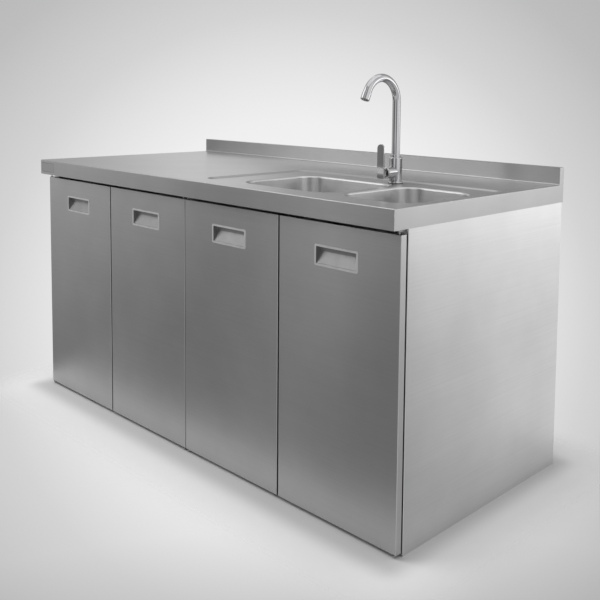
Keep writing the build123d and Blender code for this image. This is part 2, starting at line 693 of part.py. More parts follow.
def door_cup(door):
    """Pressed finger cup with a raised frame round its mouth."""
    x = cup_middle(door)
    z = DOOR_TOP - CUP_DROP - CUP_H / 2
    frame = Rot(90, 0, 0) * extrude(RectangleRounded(CUP_W, CUP_H, CUP_R), CUP_FRAME_T)
    cup = Pos(x, DOOR_FRONT, z) * frame
    cup += scoop(door, 0, DOOR_FRONT)
    return cup - scoop(door, CUP_SHEET, DOOR_FRONT - 2 * CUP_FRAME_T)


def door_bushes(door):
    """Flanged nylon bushes in the door's top and bottom edges."""
    x = door_pivot_x(door)
    bore = PIN_R + PIN_CLEARANCE
    top = rod(x, PIVOT_Y, DOOR_TOP - BUSH_LENGTH, DOOR_TOP, BUSH_R)
    top += rod(x, PIVOT_Y, DOOR_TOP, DOOR_TOP + BUSH_TOP_FLANGE, BUSH_FLANGE_R)
    foot = rod(x, PIVOT_Y, DOOR_BOTTOM, DOOR_BOTTOM + BUSH_LENGTH, BUSH_R)
    foot += rod(x, PIVOT_Y, DOOR_BOTTOM - BUSH_FOOT_FLANGE, DOOR_BOTTOM, BUSH_FLANGE_R)
    drill = rod(x, PIVOT_Y, FOOT_BRACKET_Z, RAIL_Z, bore)
    return Compound([top - drill, foot - drill])


# ---- Wastes and pipes ----
def strainer_body(x):
    """Waste cup with a flange on the bowl's floor and a spigot for the pipe."""
    top = BOWL_FLOOR_Z + WASTE_FLANGE_T
    foot = BOWL_FLOOR_Z - WASTE_BOTTOM
    body = rod(x, BOWL_Y, BOWL_FLOOR_Z, top, WASTE_FLANGE_R)
    body += rod(x, BOWL_Y, foot, BOWL_FLOOR_Z, WASTE_R)
    body += rod(x, BOWL_Y, WASTE_MOUTH_Z, foot, SOCKET_R)
    body -= rod(x, BOWL_Y, foot + WASTE_FLOOR_T, top, WASTE_BORE_R)
    body -= rod(x, BOWL_Y, top - WASTE_MOUTH_DEPTH, top, WASTE_MOUTH_R)
    return body - rod(x, BOWL_Y, WASTE_MOUTH_Z, foot + WASTE_FLOOR_T, PIPE_R + SOCKET_CLEARANCE)


def strainer_basket(x):
    """Perforated lift-out basket with a knob."""
    rim_z = BOWL_FLOOR_Z + WASTE_FLANGE_T - WASTE_MOUTH_DEPTH
    foot = rim_z - BASKET_DEPTH
    cup = rod(x, BOWL_Y, rim_z, rim_z + BASKET_WALL, BASKET_RIM_R)
    cup += rod(x, BOWL_Y, foot, rim_z, BASKET_R)
    cup -= rod(x, BOWL_Y, foot + BASKET_WALL, rim_z + BASKET_WALL, BASKET_R - BASKET_WALL)
    for i in range(BASKET_HOLES):
        angle = math.tau * i / BASKET_HOLES
        hx = x + BASKET_HOLE_PCD_R * math.cos(angle)
        hy = BOWL_Y + BASKET_HOLE_PCD_R * math.sin(angle)
        cup -= rod(hx, hy, foot, foot + BASKET_WALL, BASKET_HOLE_R)
    stem_top = foot + BASKET_STEM_H
    cup += rod(x, BOWL_Y, foot, stem_top, BASKET_STEM_R)
    return cup + rod(x, BOWL_Y, stem_top, stem_top + BASKET_KNOB_T, BASKET_KNOB_R)


def waste_rings(z1, thickness, outer, bore):
    """A ring under each bowl, round the waste."""
    group = []
    for x in (LEFT_WASTE_X, RIGHT_WASTE_X):
        ring = rod(x, BOWL_Y, z1 - thickness, z1, outer)
        group.append(ring - rod(x, BOWL_Y, z1 - thickness, z1, bore))
    return Compound(group)


def slip_nut():
    """Nut over a socket's mouth at z = 0; the pipe leaves towards +Z."""
    nut = rod(0, 0, -NUT_SOCKET_PART, NUT_PIPE_PART, NUT_R)
    nut -= rod(0, 0, -NUT_SOCKET_PART, 0, SOCKET_R)
    nut -= rod(0, 0, 0, NUT_PIPE_PART, PIPE_R)
    for i in range(NUT_GRIPS):
        grip = rod(NUT_R + NUT_GRIP_OUT, 0, -NUT_SOCKET_PART, NUT_PIPE_PART, NUT_GRIP_R)
        nut -= Rot(0, 0, 360 * i / NUT_GRIPS) * grip
    return nut


def slip_nuts():
    branch_x = RIGHT_WASTE_X - TEE_BRANCH
    outlet_y = BOWL_Y + TRAP_OUTLET_REACH
    places = [
        Pos(LEFT_WASTE_X, BOWL_Y, WASTE_MOUTH_Z) * Rot(180, 0, 0),
        Pos(RIGHT_WASTE_X, BOWL_Y, WASTE_MOUTH_Z) * Rot(180, 0, 0),
        Pos(RIGHT_WASTE_X, BOWL_Y, TEE_TOP_Z),
        Pos(branch_x, BOWL_Y, TEE_BRANCH_Z) * Rot(0, -90, 0),
        Pos(RIGHT_WASTE_X, BOWL_Y, TRAP_TOP_Z),
        Pos(RIGHT_WASTE_X, outlet_y, TRAP_OUTLET_Z) * Rot(-90, 0, 0),
    ]
    return Compound([place * slip_nut() for place in places])


def link_pipe():
    """Bent pipe from the left waste to the tee."""
    end_x = RIGHT_WASTE_X - TEE_BRANCH + PIPE_INSERT
    start = (LEFT_WASTE_X, BOWL_Y, WASTE_MOUTH_Z + PIPE_INSERT)
    corner = (LEFT_WASTE_X, BOWL_Y, TEE_BRANCH_Z)
    end = (end_x, BOWL_Y, TEE_BRANCH_Z)
    path = FilletPolyline([start, corner, end], radius=LINK_BEND_R)
    plane = Plane(origin=start, z_dir=(0, 0, -1))
    outer = sweep(plane * Circle(PIPE_R), path=path)
    return outer - sweep(plane * Circle(PIPE_R - PIPE_WALL), path=path)


def tail_pipe():
    z0 = TEE_TOP_Z - PIPE_INSERT
    z1 = WASTE_MOUTH_Z + PIPE_INSERT
    pipe = rod(RIGHT_WASTE_X, BOWL_Y, z0, z1, PIPE_R)
    return pipe - rod(RIGHT_WASTE_X, BOWL_Y, z0, z1, PIPE_R - PIPE_WALL)


def drain_tee():
    """Tee with two sockets and a spigot foot."""
    x = RIGHT_WASTE_X
    tee = rod(x, BOWL_Y, TEE_FOOT_Z, TEE_TOP_Z, SOCKET_R)
    tee += rod_x(x - TEE_BRANCH, x, BOWL_Y, TEE_BRANCH_Z, SOCKET_R)
    tee += rod(x, BOWL_Y, TEE_FOOT_Z - TEE_SPIGOT, TEE_FOOT_Z, PIPE_R)
    tee -= rod(x, BOWL_Y, TEE_TOP_Z - PIPE_INSERT, TEE_TOP_Z, PIPE_R + SOCKET_CLEARANCE)
    tee -= rod_x(x - TEE_BRANCH, x - TEE_BRANCH + PIPE_INSERT, BOWL_Y, TEE_BRANCH_Z,
                 PIPE_R + SOCKET_CLEARANCE)
    tee -= rod(x, BOWL_Y, TEE_FOOT_Z - TEE_SPIGOT, TEE_TOP_Z, PIPE_R - PIPE_WALL)
    return tee - rod_x(x - TEE_BRANCH, x, BOWL_Y, TEE_BRANCH_Z, PIPE_R - PIPE_WALL)


def trap_body():
    """Bottle trap's upper part: inlet socket with a dip tube, and a side outlet."""
    x = RIGHT_WASTE_X
    body = rod(x, BOWL_Y, TRAP_FOOT_Z, TRAP_SHOULDER_Z, TRAP_BODY_R)
    body += rod(x, BOWL_Y, TRAP_SHOULDER_Z, TRAP_TOP_Z, SOCKET_R)
    body += rod_y(x, BOWL_Y, BOWL_Y + TRAP_OUTLET_REACH, TRAP_OUTLET_Z, SOCKET_R)
    body -= rod(x, BOWL_Y, TRAP_FOOT_Z, TRAP_SHOULDER_Z - TRAP_WALL, TRAP_BODY_R - TRAP_WALL)
    body -= rod_y(x, BOWL_Y, BOWL_Y + TRAP_OUTLET_REACH, TRAP_OUTLET_Z,
                  PIPE_R + SOCKET_CLEARANCE)
    dip_z = TRAP_FOOT_Z - TRAP_DIP
    body += rod(x, BOWL_Y, dip_z, TRAP_SHOULDER_Z, SOCKET_R - PIPE_WALL)
    return body - rod(x, BOWL_Y, dip_z, TRAP_TOP_Z, PIPE_R + SOCKET_CLEARANCE)


def trap_cup():
    """Screw-on cup that holds the water seal."""
    x = RIGHT_WASTE_X
    cup = rod(x, BOWL_Y, TRAP_CUP_FOOT_Z, TRAP_CUP_TOP_Z, TRAP_CUP_R)
    cup = fillet(cup.edges().group_by(Axis.Z)[0], TRAP_CUP_ROUND)
    cup -= rod(x, BOWL_Y, TRAP_CUP_FOOT_Z + TRAP_WALL, TRAP_FOOT_Z, TRAP_BODY_R - TRAP_WALL)
    return cup - rod(x, BOWL_Y, TRAP_FOOT_Z, TRAP_CUP_TOP_Z, TRAP_BODY_R)


def outlet_pipe():
    """Pipe from the trap to the wall, with a bead that stops the wall socket."""
    x = RIGHT_WASTE_X
    y0 = BOWL_Y + TRAP_OUTLET_REACH - PIPE_INSERT
    y1 = HALF_D - OUTLET_END_GAP
    bead = y1 - OUTLET_SPIGOT
    pipe = rod_y(x, y0, y1, TRAP_OUTLET_Z, PIPE_R)
    pipe += rod_y(x, bead - OUTLET_BEAD_W, bead, TRAP_OUTLET_Z, OUTLET_BEAD_R)
    return pipe - rod_y(x, y0, y1, TRAP_OUTLET_Z, PIPE_R - PIPE_WALL)


# ---- Tap ----
def tap_ring(z0, z1, outer, bore):
    return rod(TAP_X, TAP_Y, z0, z1, outer) - rod(TAP_X, TAP_Y, z0, z1, bore)


def tap_base_ring():
    z0 = DECK_Z + TAP_GASKET_T
    ring = tap_ring(z0, z0 + TAP_BASE_H, TAP_BASE_R, TAP_OPENING_R)
    top = [edge for edge in ring.edges().group_by(Axis.Z)[-1] if edge.radius > TAP_BODY_R]
    return fillet(top, TAP_BASE_ROUND)


def tap_body():
    """Body with a socket for the spout, a branch for the cartridge, and threaded inlets below."""
    x, y = TAP_X, TAP_Y
    body = rod(x, y, TAP_FOOT_Z, TAP_TOP_Z, TAP_BODY_R)
    body = fillet(body.edges().group_by(Axis.Z)[-1], TAP_TOP_ROUND)
    body += rod_y(x, y - BRANCH_REACH, y, LEVER_Z, BRANCH_R)
    body -= rod(x, y, TAP_TOP_Z - SPOUT_FOOT - SPOUT_FOOT_GAP, TAP_TOP_Z,
                SPOUT_FOOT_R + SPOUT_FOOT_CLEARANCE)
    body -= rod_y(x, y - BRANCH_REACH, y - BRANCH_REACH + CARTRIDGE_LENGTH, LEVER_Z, CARTRIDGE_R)
    for side in (-1, 1):
        body -= rod(x + side * INLET_X, y + INLET_Y, TAP_FOOT_Z, TAP_FOOT_Z + INLET_DEPTH, INLET_R)
    return body - rod(x, y + STUD_Y, TAP_FOOT_Z, TAP_FOOT_Z + STUD_DEPTH, STUD_R)


def tap_stud_and_nut():
    """Threaded stud in the body, with the nut that draws the tap down."""
    x, y = TAP_X, TAP_Y + STUD_Y
    z1 = UNDER_DECK_Z - WASHER_T
    stud = rod(x, y, DECK_Z - STUD_TAIL, TAP_FOOT_Z + STUD_DEPTH, STUD_R)
    nut = Pos(x, y, z1 - NUT_T) * extrude(RegularPolygon(NUT_ACROSS_R, 6), NUT_T)
    return Compound([stud, nut - rod(x, y, z1 - NUT_T, z1, STUD_R)])


def horseshoe_washer():
    """Washer under the ledge, open towards the front for the supply tails."""
    x, y = TAP_X, TAP_Y
    z0, z1 = UNDER_DECK_Z - WASHER_T, UNDER_DECK_Z
    washer = rod(x, y, z0, z1, WASHER_R)
    half = WASHER_SLOT / 2
    washer -= block(x - half, x + half, y - WASHER_R, y + WASHER_SLOT_Y, z0, z1)
    return washer - rod(x, y + STUD_Y, z0, z1, STUD_R)


def tap_cartridge():
    y0 = TAP_Y - BRANCH_REACH
    core = rod_y(TAP_X, y0, y0 + CARTRIDGE_LENGTH, LEVER_Z, CARTRIDGE_R)
    return core - rod_y(TAP_X, y0, y0 + SPINDLE_DEPTH, LEVER_Z, SPINDLE_R + RUN_CLEARANCE)


def tap_bonnet():
    """Rounded ring that closes the branch."""
    y1 = TAP_Y - BRANCH_REACH
    ring = rod_y(TAP_X, y1 - BONNET_LENGTH, y1, LEVER_Z, BRANCH_R)
    ring = fillet(ring.edges().group_by(Axis.Y)[0], BONNET_ROUND)
    return ring - rod_y(TAP_X, y1 - BONNET_LENGTH, y1, LEVER_Z, BONNET_HOLE_R)


def tap_spindle():
    """Spindle of the cartridge, ending in a flat tongue that carries the lever."""
    mouth = TAP_Y - BRANCH_REACH
    pivot = TAP_Y - LEVER_PIVOT_REACH
    neck = mouth - SPINDLE_NECK
    shaft = rod_y(TAP_X, neck, mouth + SPINDLE_DEPTH - SPINDLE_END_GAP, LEVER_Z, SPINDLE_R)
    half = TONGUE_T / 2
    rise = SPINDLE_R - SPINDLE_FLAT
    tongue = block(TAP_X - half, TAP_X + half, pivot, neck, LEVER_Z - rise, LEVER_Z + rise)
    tongue += rod_x(TAP_X - half, TAP_X + half, pivot, LEVER_Z, TONGUE_R)
    hole = rod_x(TAP_X - half, TAP_X + half, pivot, LEVER_Z, LEVER_PIN_R + RUN_CLEARANCE)
    return shaft + tongue - hole


def tap_lever():
    """Flat upright paddle with a slotted hub and its cross pin."""
    pivot = TAP_Y - LEVER_PIVOT_REACH
    front = TAP_Y - LEVER_REACH - LEVER_T / 2
    back = front + LEVER_T
    z0, z1 = LEVER_Z - LEVER_DROP, LEVER_Z + LEVER_RISE
    half = LEVER_W / 2
    paddle = block(TAP_X - half, TAP_X + half, front, back, z0, z1 - half)
    feet = [edge for edge in paddle.edges().filter_by(Axis.Y) if edge.center().Z < z0 + TOUCH]
    paddle = fillet(feet, LEVER_FOOT_R) + rod_y(TAP_X, front, back, z1 - half, half)
    rims = [edge for edge in paddle.edges()
            if min(abs(edge.center().Y - front), abs(edge.center().Y - back)) < TOUCH]
    paddle = fillet(rims, LEVER_ROUND)
    side = LEVER_HUB_W / 2
    rise = LEVER_HUB_H / 2
    hub_end = pivot + LEVER_HUB_BACK
    lever = paddle + block(TAP_X - side, TAP_X + side, back - LEVER_HUB_SINK, hub_end,
                           LEVER_Z - rise, LEVER_Z + rise)
    slot = TONGUE_T / 2 + TONGUE_GAP
    lever -= block(TAP_X - slot, TAP_X + slot, pivot - TONGUE_R - 2 * TONGUE_GAP, hub_end + PAST,
                   LEVER_Z - rise - PAST, LEVER_Z + rise + PAST)
    return lever + rod_x(TAP_X - side, TAP_X + side, pivot, LEVER_Z, LEVER_PIN_R)


def spout_path_end():
    """End point and direction of the spout's arch, in the plane of the spout."""
    turn = math.radians(SPOUT_ARCH_TURN)
    y = TAP_Y - SPOUT_ARCH_R + SPOUT_ARCH_R * math.cos(turn)
    z = DECK_Z + SPOUT_ARCH_Z + SPOUT_ARCH_R * math.sin(turn)
    return (TAP_X, y, z), (0, -math.sin(turn), math.cos(turn))


def along(point, direction, distance):
    return tuple(p + d * distance for p, d in zip(point, direction))


def spout_tube(z0, radius):
    """Round bar along the spout: up, over the arch, and down to the aerator."""
    arch_z = DECK_Z + SPOUT_ARCH_Z
    crown = math.radians(SPOUT_ARCH_TURN / 2)
    crown_y = TAP_Y - SPOUT_ARCH_R + SPOUT_ARCH_R * math.cos(crown)
    crown_z = arch_z + SPOUT_ARCH_R * math.sin(crown)
    end, direction = spout_path_end()
    tip = along(end, direction, SPOUT_TIP - AERATOR_LENGTH)
    path = Wire([
        Line((TAP_X, TAP_Y, z0), (TAP_X, TAP_Y, arch_z)),
        ThreePointArc((TAP_X, TAP_Y, arch_z), (TAP_X, crown_y, crown_z), end),
        Line(end, tip),
    ])
    return sweep(Plane(origin=(TAP_X, TAP_Y, z0)) * Circle(radius), path=path)


def tap_spout():
    """Swivel spout: foot in the body's socket, collar, and gooseneck tube."""
    z0 = TAP_TOP_Z + SPOUT_GAP
    collar = rod(TAP_X, TAP_Y, z0, z0 + SPOUT_COLLAR_H, SPOUT_COLLAR_R)
    collar = fillet(collar.edges().group_by(Axis.Z)[-1], SPOUT_COLLAR_ROUND)
    foot = rod(TAP_X, TAP_Y, TAP_TOP_Z - SPOUT_FOOT, z0, SPOUT_FOOT_R)
    outer = spout_tube(z0, SPOUT_R) + collar + foot
    return outer - spout_tube(TAP_TOP_Z - SPOUT_FOOT, SPOUT_BORE_R)


def tap_aerator():
    """Housing at the spout's tip with a perforated disc inside."""
    end, direction = spout_path_end()
    start = along(end, direction, SPOUT_TIP - AERATOR_LENGTH)
    frame = Plane(origin=start, z_dir=direction)
    housing = extrude(Circle(AERATOR_R), AERATOR_LENGTH)
    housing = chamfer(housing.edges(), AERATOR_CHAMFER)
    housing -= extrude(Circle(SPOUT_BORE_R), AERATOR_LENGTH)
    disc_z = AERATOR_LENGTH - AERATOR_DISC_IN - AERATOR_DISC_T
    disc = Pos(0, 0, disc_z) * extrude(Circle(SPOUT_BORE_R + AERATOR_DISC_EDGE), AERATOR_DISC_T)
    for ring_r, count in AERATOR_RINGS:
        for i in range(count):
            angle = math.tau * i / count
            hole = Pos(ring_r * math.cos(angle), ring_r * math.sin(angle), disc_z)
            disc -= hole * extrude(Circle(AERATOR_HOLE_R), AERATOR_DISC_T)
    return frame.location * (housing + disc)


def main():
    os.makedirs("parts", exist_ok=True)
    save("worktop", worktop())
    save("name_plate", name_plate())
    save("worktop_stiffeners", worktop_stiffeners())
    save("bowl_left", bowl(LEFT_BOWL_X))
    save("bowl_right", bowl(RIGHT_BOWL_X))
    save("side_panel_left", side_panel(-1))
    save("side_panel_right", side_panel(1))
    save("centre_partition", centre_partition())
    save("back_panel", back_panel())
    save("base_shelf", base_shelf())
    save("front_rail", rail(True))
    save("rear_rail", rail(False))
    save("middle_shelf", middle_shelf())
    save("shelf_clips", shelf_clips())
    save("centre_feet", centre_feet())
    save("hinge_brackets_top", hinge_brackets(TOP_BRACKET_Z))
    save("hinge_brackets_bottom", hinge_brackets(FOOT_BRACKET_Z))
    save("hinge_pins", hinge_pins())
    save("bracket_screws", bracket_screws())
    save("door_catches", door_catches())
    for door in DOORS:
        name = door[0]
        save(f"{name}_skin", door_skin(door))
        save(f"{name}_liner", door_liner(door))
        save(f"{name}_cup", door_cup(door))
        save(f"{name}_bushes", door_bushes(door))
    save("strainer_body_left", strainer_body(LEFT_WASTE_X))
    save("strainer_body_right", strainer_body(RIGHT_WASTE_X))
    save("strainer_basket_left", strainer_basket(LEFT_WASTE_X))
    save("strainer_basket_right", strainer_basket(RIGHT_WASTE_X))
    gasket_z = BOWL_FLOOR_Z - SHEET
    save("waste_gaskets", waste_rings(gasket_z, GASKET_T, GASKET_R, WASTE_HOLE_R))
    save("waste_locknuts", waste_rings(gasket_z - GASKET_T, LOCKNUT_T, LOCKNUT_R, WASTE_R))
    save("link_pipe", link_pipe())
    save("tail_pipe", tail_pipe())
    save("drain_tee", drain_tee())
    save("trap_body", trap_body())
    save("trap_cup", trap_cup())
    save("outlet_pipe", outlet_pipe())
    save("slip_nuts", slip_nuts())
    gasket_top = DECK_Z + TAP_GASKET_T
    save("tap_gasket", tap_ring(DECK_Z, gasket_top, TAP_GASKET_R, TAP_HOLE_R))
    save("tap_base_ring", tap_base_ring())
    save("tap_body", tap_body())
    save("tap_stud_and_nut", tap_stud_and_nut())
    save("horseshoe_washer", horseshoe_washer())
    save("tap_cartridge", tap_cartridge())
    save("tap_bonnet", tap_bonnet())
    save("tap_spindle", tap_spindle())
    save("tap_lever", tap_lever())
    save("tap_spout", tap_spout())
    save("tap_aerator", tap_aerator())


main()
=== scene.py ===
"""Kitchen sink unit in brushed sheet steel: worktop with pressed bowls, doors, tap and wastes."""
import math

import bpy
import numpy as np
from bpy.props import FloatProperty, FloatVectorProperty, PointerProperty
from mathutils import Matrix, Vector


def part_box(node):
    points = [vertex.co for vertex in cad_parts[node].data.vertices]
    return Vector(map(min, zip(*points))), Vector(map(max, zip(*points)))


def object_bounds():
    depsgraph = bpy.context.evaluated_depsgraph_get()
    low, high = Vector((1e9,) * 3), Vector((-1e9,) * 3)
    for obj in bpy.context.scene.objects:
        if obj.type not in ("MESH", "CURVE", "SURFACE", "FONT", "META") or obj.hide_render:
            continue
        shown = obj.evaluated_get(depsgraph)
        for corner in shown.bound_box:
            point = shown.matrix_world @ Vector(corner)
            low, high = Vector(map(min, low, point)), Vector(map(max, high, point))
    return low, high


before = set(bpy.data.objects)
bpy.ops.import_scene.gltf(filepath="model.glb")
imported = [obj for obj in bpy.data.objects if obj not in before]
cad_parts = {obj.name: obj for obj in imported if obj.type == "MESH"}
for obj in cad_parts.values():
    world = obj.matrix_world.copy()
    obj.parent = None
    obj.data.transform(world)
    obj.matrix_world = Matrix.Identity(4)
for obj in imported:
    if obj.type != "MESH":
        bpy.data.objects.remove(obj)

bl_info = {
    "name": "Kitchen Sink Unit",
    "version": (1, 0, 0),
    "blender": (4, 5, 0),
    "location": "View3D > Sidebar > Sink Unit",
    "description": "Dresses the sheet-steel sink unit and builds its studio",
    "category": "Add Mesh",
}

cad_box = [list(corner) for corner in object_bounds()]

MM = 0.001    # metres in a millimetre
UPRIGHT = (0.0, 0.0, 1.0)
UP_AND_BACK = (0.0, 0.35, 1.0)    # across the worktop's lines, on its top and on its aprons

# Studio in linear grey levels. A direction has a compass angle, in degrees from +X towards +Y,
# and a height, the sine of its angle above the horizon. A ramp takes 32 stops at most.
ROOM_LEVELS = (
    (-180, 0.55), (-148.5, 0.74), (-146, 0.44), (-141, 0.36), (-138, 0.50), (-135.8, 0.92),
    (-134.2, 1.10), (-132.6, 0.56), (-131, 0.26), (-127, 0.30), (-120, 0.44), (-112, 0.20),
    (-107, 0.10), (-94, 0.10), (-87, 0.45), (-69, 0.95), (-63, 0.95), (-55, 0.20), (-34, 0.16),
    (-24, 0.95), (0, 1.15), (38, 0.75), (48, 0.85), (54, 1.15), (60, 0.80), (112, 0.20),
    (139, 0.22), (143, 0.85), (147, 1.20), (151, 0.80), (157, 0.45), (180, 0.55))
# Share of its level that the room has at each height
HEIGHT_SHARES = ((-1.0, 0.22), (-0.30, 0.22), (-0.17, 0.40), (-0.08, 0.90), (0.0, 1.0), (1.0, 1.0))
# Levels near the floor. They come in between the two heights of HIGH_START where LOW_BEGINS is 0,
# and between those of LOW_START where it is 1.
LOW_LEVELS = ((-180, 0.66), (-164, 0.17), (-124, 0.17), (-106, 0.66), (20, 0.68), (44, 0.32),
              (53, 0.33), (60, 0.63), (68, 0.68), (180, 0.66))
LOW_BEGINS = ((-180, 0.0), (-168, 0.0), (-160, 1.0), (-125, 1.0), (-112, 0.0), (34, 0.0),
              (44, 1.0), (52, 1.0), (62, 0.1), (68, 0.0))
HIGH_START = (-0.26, 0.02)
LOW_START = (-0.46, -0.26)
# Patches of the room: direction, the cosines of the angles from it inside which the patch is
# full and outside which there is none, and what it multiplies the level by
PATCHES = (
    ((0.372, 0.835, -0.407), 0.9976, 0.965, 1.6),     # pale low wall behind and to the right
    ((-0.718, -0.693, -0.05), 0.9976, 0.9877, 0.55),  # grey flag in front, at worktop height
)
CEILING = (0.55, 0.55, 0.55)
CEILING_HEIGHTS = (0.20, 0.85)    # it comes in between these heights
CEILING_SHARE = 0.7               # and covers this share of the room's level

BACKDROP_MIDDLE = (-0.7106, 0.6586, -0.2478)
BACKDROP_EDGE = (0.825, 0.885)    # cosines of the angles from its middle where it ends and is full
BACKDROP_TOP = (0.115, 0.155)     # heights between which it ends
BACKDROP_FOOT = (-0.58, -0.48)    # heights between which it darkens towards the floor
BACKDROP_FOOT_SHARE = 0.80        # share of its level that it has at the floor
# Levels from where it is full, at 0, to its middle, at 1
BACKDROP_LEVELS = (
    (0.0, 0.49), (0.15, 0.515), (0.49, 0.655), (0.66, 0.775), (0.80, 0.865), (1.0, 0.92))

FLOOR_CLEARS = 0.26               # distance from the unit at which the floor has turned clear
PAINTED_SHADOW_REACH = 0.08              # distance from the unit over which a painted contact shadow darkens the floor
PAINTED_SHADOW_SHARE = 0.70              # share of its colour that the floor keeps right at the unit, under the painted shadow

FRAME_PIXELS = 600.0              # side of the picture
AXIS_PIXEL = (365.0, 160.0)       # where the camera's axis meets it, from its top left corner
SENSOR_WIDTH = 36.0               # side of the camera's film, in millimetres


def linear(text):
    """sRGB hex to linear: c / 12.92 up to 0.04045, and ((c + 0.055) / 1.055) ** 2.4 above."""
    parts = [int(text[i:i + 2], 16) / 255 for i in (1, 3, 5)]
    return tuple(c / 12.92 if c <= 0.04045 else ((c + 0.055) / 1.055) ** 2.4 for c in parts)


def colour(text, label, note):
    """A colour that the user can change, given as sRGB hex."""
    return FloatVectorProperty(name=label, description=note, subtype="COLOR", size=3,
                               min=0.0, max=1.0, default=linear(text))


def length(metres, label, note):
    """A length that the user can change."""
    return FloatProperty(name=label, description=note, unit="LENGTH", subtype="DISTANCE",
                         default=metres)


class SINKUNIT_PG_finishes(bpy.types.PropertyGroup):
    """Colours of the metals and plastics, and sizes of the brushed pattern."""
    # The worktop, doors and side panels are one brushed steel. Their colours differ as painted
    # light: the side panels' is set lighter and the worktop's darker than the doors', to match how
    # light falls on each.
    worktop_steel: colour("#BDBDBD", "Worktop steel", "Brushed stainless steel of the worktop")
    door_steel: colour("#C6C6C6", "Door steel", "Brushed stainless steel of the doors")
    panel_steel: colour("#D4D4D4", "Panel steel", "Brushed stainless steel of the side panels")
    carcass_steel: colour("#B0B0B0", "Carcass steel", "Mill-finished steel inside the unit")
    bowl_steel: colour("#E2E2E2", "Bowl steel", "Satin pressed steel of the bowls")
    cup_steel: colour("#A2A2A2", "Cup steel", "Satin pressed steel of the finger cups")
    # The cup frame's light colour is a painted highlight for its raised lip
    cup_frame_highlight_steel: colour("#F0F0F0", "Cup frame steel", "Frame of the finger cups, lightened as a painted highlight")
    chrome: colour("#C8C8CA", "Chrome", "Polished chromium plate of the tap")
    waste_steel: colour("#D2D2D2", "Waste steel", "Polished steel of the strainers")
    fastener_steel: colour("#B0B0AE", "Fastener steel", "Zinc-plated steel of brackets and screws")
    pipe_plastic: colour("#E6E6E2", "Pipe plastic", "White polypropylene of the trap and pipes")
    # The bushes' dark colour is partly their own and partly painted shade, so that they read as
    # the shade in the door gaps
    nylon: colour("#3A3A3A", "Nylon", "Dark nylon of the pivot bushes")
    black_plastic: colour("#232425", "Black plastic", "Moulded black plastic")
    rubber: colour("#1E1E1F", "Rubber", "Black rubber of the seals")
    cartridge_plastic: colour("#D2D2CC", "Cartridge plastic", "Acetal body of the cartridge")
    brass: colour("#C6A866", "Brass", "Turned brass of the tap's stud and nut")
    plate_metal: colour("#C2C2C2", "Plate metal", "Satin aluminium of the bare plate")
    brush_line: length(2.2 * MM, "Brush line", "Spacing of the coarsest drawn brush lines")
    brush_run: length(450 * MM, "Brush run", "Length of one brush line")


class SINKUNIT_PG_studio(bpy.types.PropertyGroup):
    """Camera, floor and overhead lamp."""
    camera_place: FloatVectorProperty(
        name="Camera place", description="Where the camera stands", subtype="XYZ", unit="LENGTH",
        default=(2.1705, -1.8814, 1.1666))
    camera_yaw: FloatProperty(name="Yaw", description="Camera's turn from +Y towards +X",
                              subtype="ANGLE", default=-0.745853)
    camera_pitch: FloatProperty(name="Pitch", description="Camera's tilt above the horizon",
                                subtype="ANGLE", default=-0.081994)
    camera_roll: FloatProperty(name="Roll", description="Camera's turn about its own axis",
                               subtype="ANGLE", default=0.014421)
    focal_pixels: FloatProperty(name="Focal length in pixels", default=825.18,
                                description="Focal length, counted in the picture's pixels")
    floor_colour: colour("#EEEEEE", "Floor", "Pale studio floor")
    floor_radius: length(5.0, "Floor radius", "Reach of the floor")
    softbox_size: length(3.2, "Softbox size", "Side of the overhead lamp")


def add_node(tree, kind, inputs=None, stops=(), **settings):
    """Adds one shader node with its settings. An input given as a socket is linked, and any other
    value is set. A ramp's stops are pairs of place and grey level."""
    node = tree.nodes.new(kind)
    for name, value in settings.items():
        setattr(node, name, value)
    for i, (place, level) in enumerate(stops):
        elements = node.color_ramp.elements
        stop = elements[i] if i < 2 else elements.new(place)
        stop.position = place
        stop.color = (level, level, level, 1.0)
    for key, value in (inputs or {}).items():
        if isinstance(value, bpy.types.NodeSocket):
            tree.links.new(value, node.inputs[key])
        else:
            node.inputs[key].default_value = value
    return node


def new_material(name):
    """An empty node material, its node tree and the piece's own coordinates."""
    material = bpy.data.materials.new(name)
    material.use_nodes = True
    tree = material.node_tree
    tree.nodes.clear()
    place = add_node(tree, "ShaderNodeTexCoord").outputs["Object"]
    return material, tree, place


def rgba(colour_value, factor=1.0):
    """A colour times a factor, with full alpha."""
    return (*[c * factor for c in colour_value], 1.0)


def pattern(tree, place, sizes, low, high, detail=2.0, roughness=0.5):
    """A random value between low and high, with marks of the given sizes along X, Y and Z. The
    noise is nearly always between 0.3 and 0.7, which is spread over low to high."""
    marks = add_node(tree, "ShaderNodeMapping", {"Vector": place,
                                                 "Scale": [1 / size for size in sizes]})
    noise = add_node(tree, "ShaderNodeTexNoise", {"Vector": marks.outputs[0], "Scale": 1.0,
                                                  "Detail": detail, "Roughness": roughness})
    return add_node(tree, "ShaderNodeMapRange", {"Value": noise.outputs["Fac"],
                                                 "From Min": 0.3, "From Max": 0.7,
                                                 "To Min": low, "To Max": high}).outputs[0]


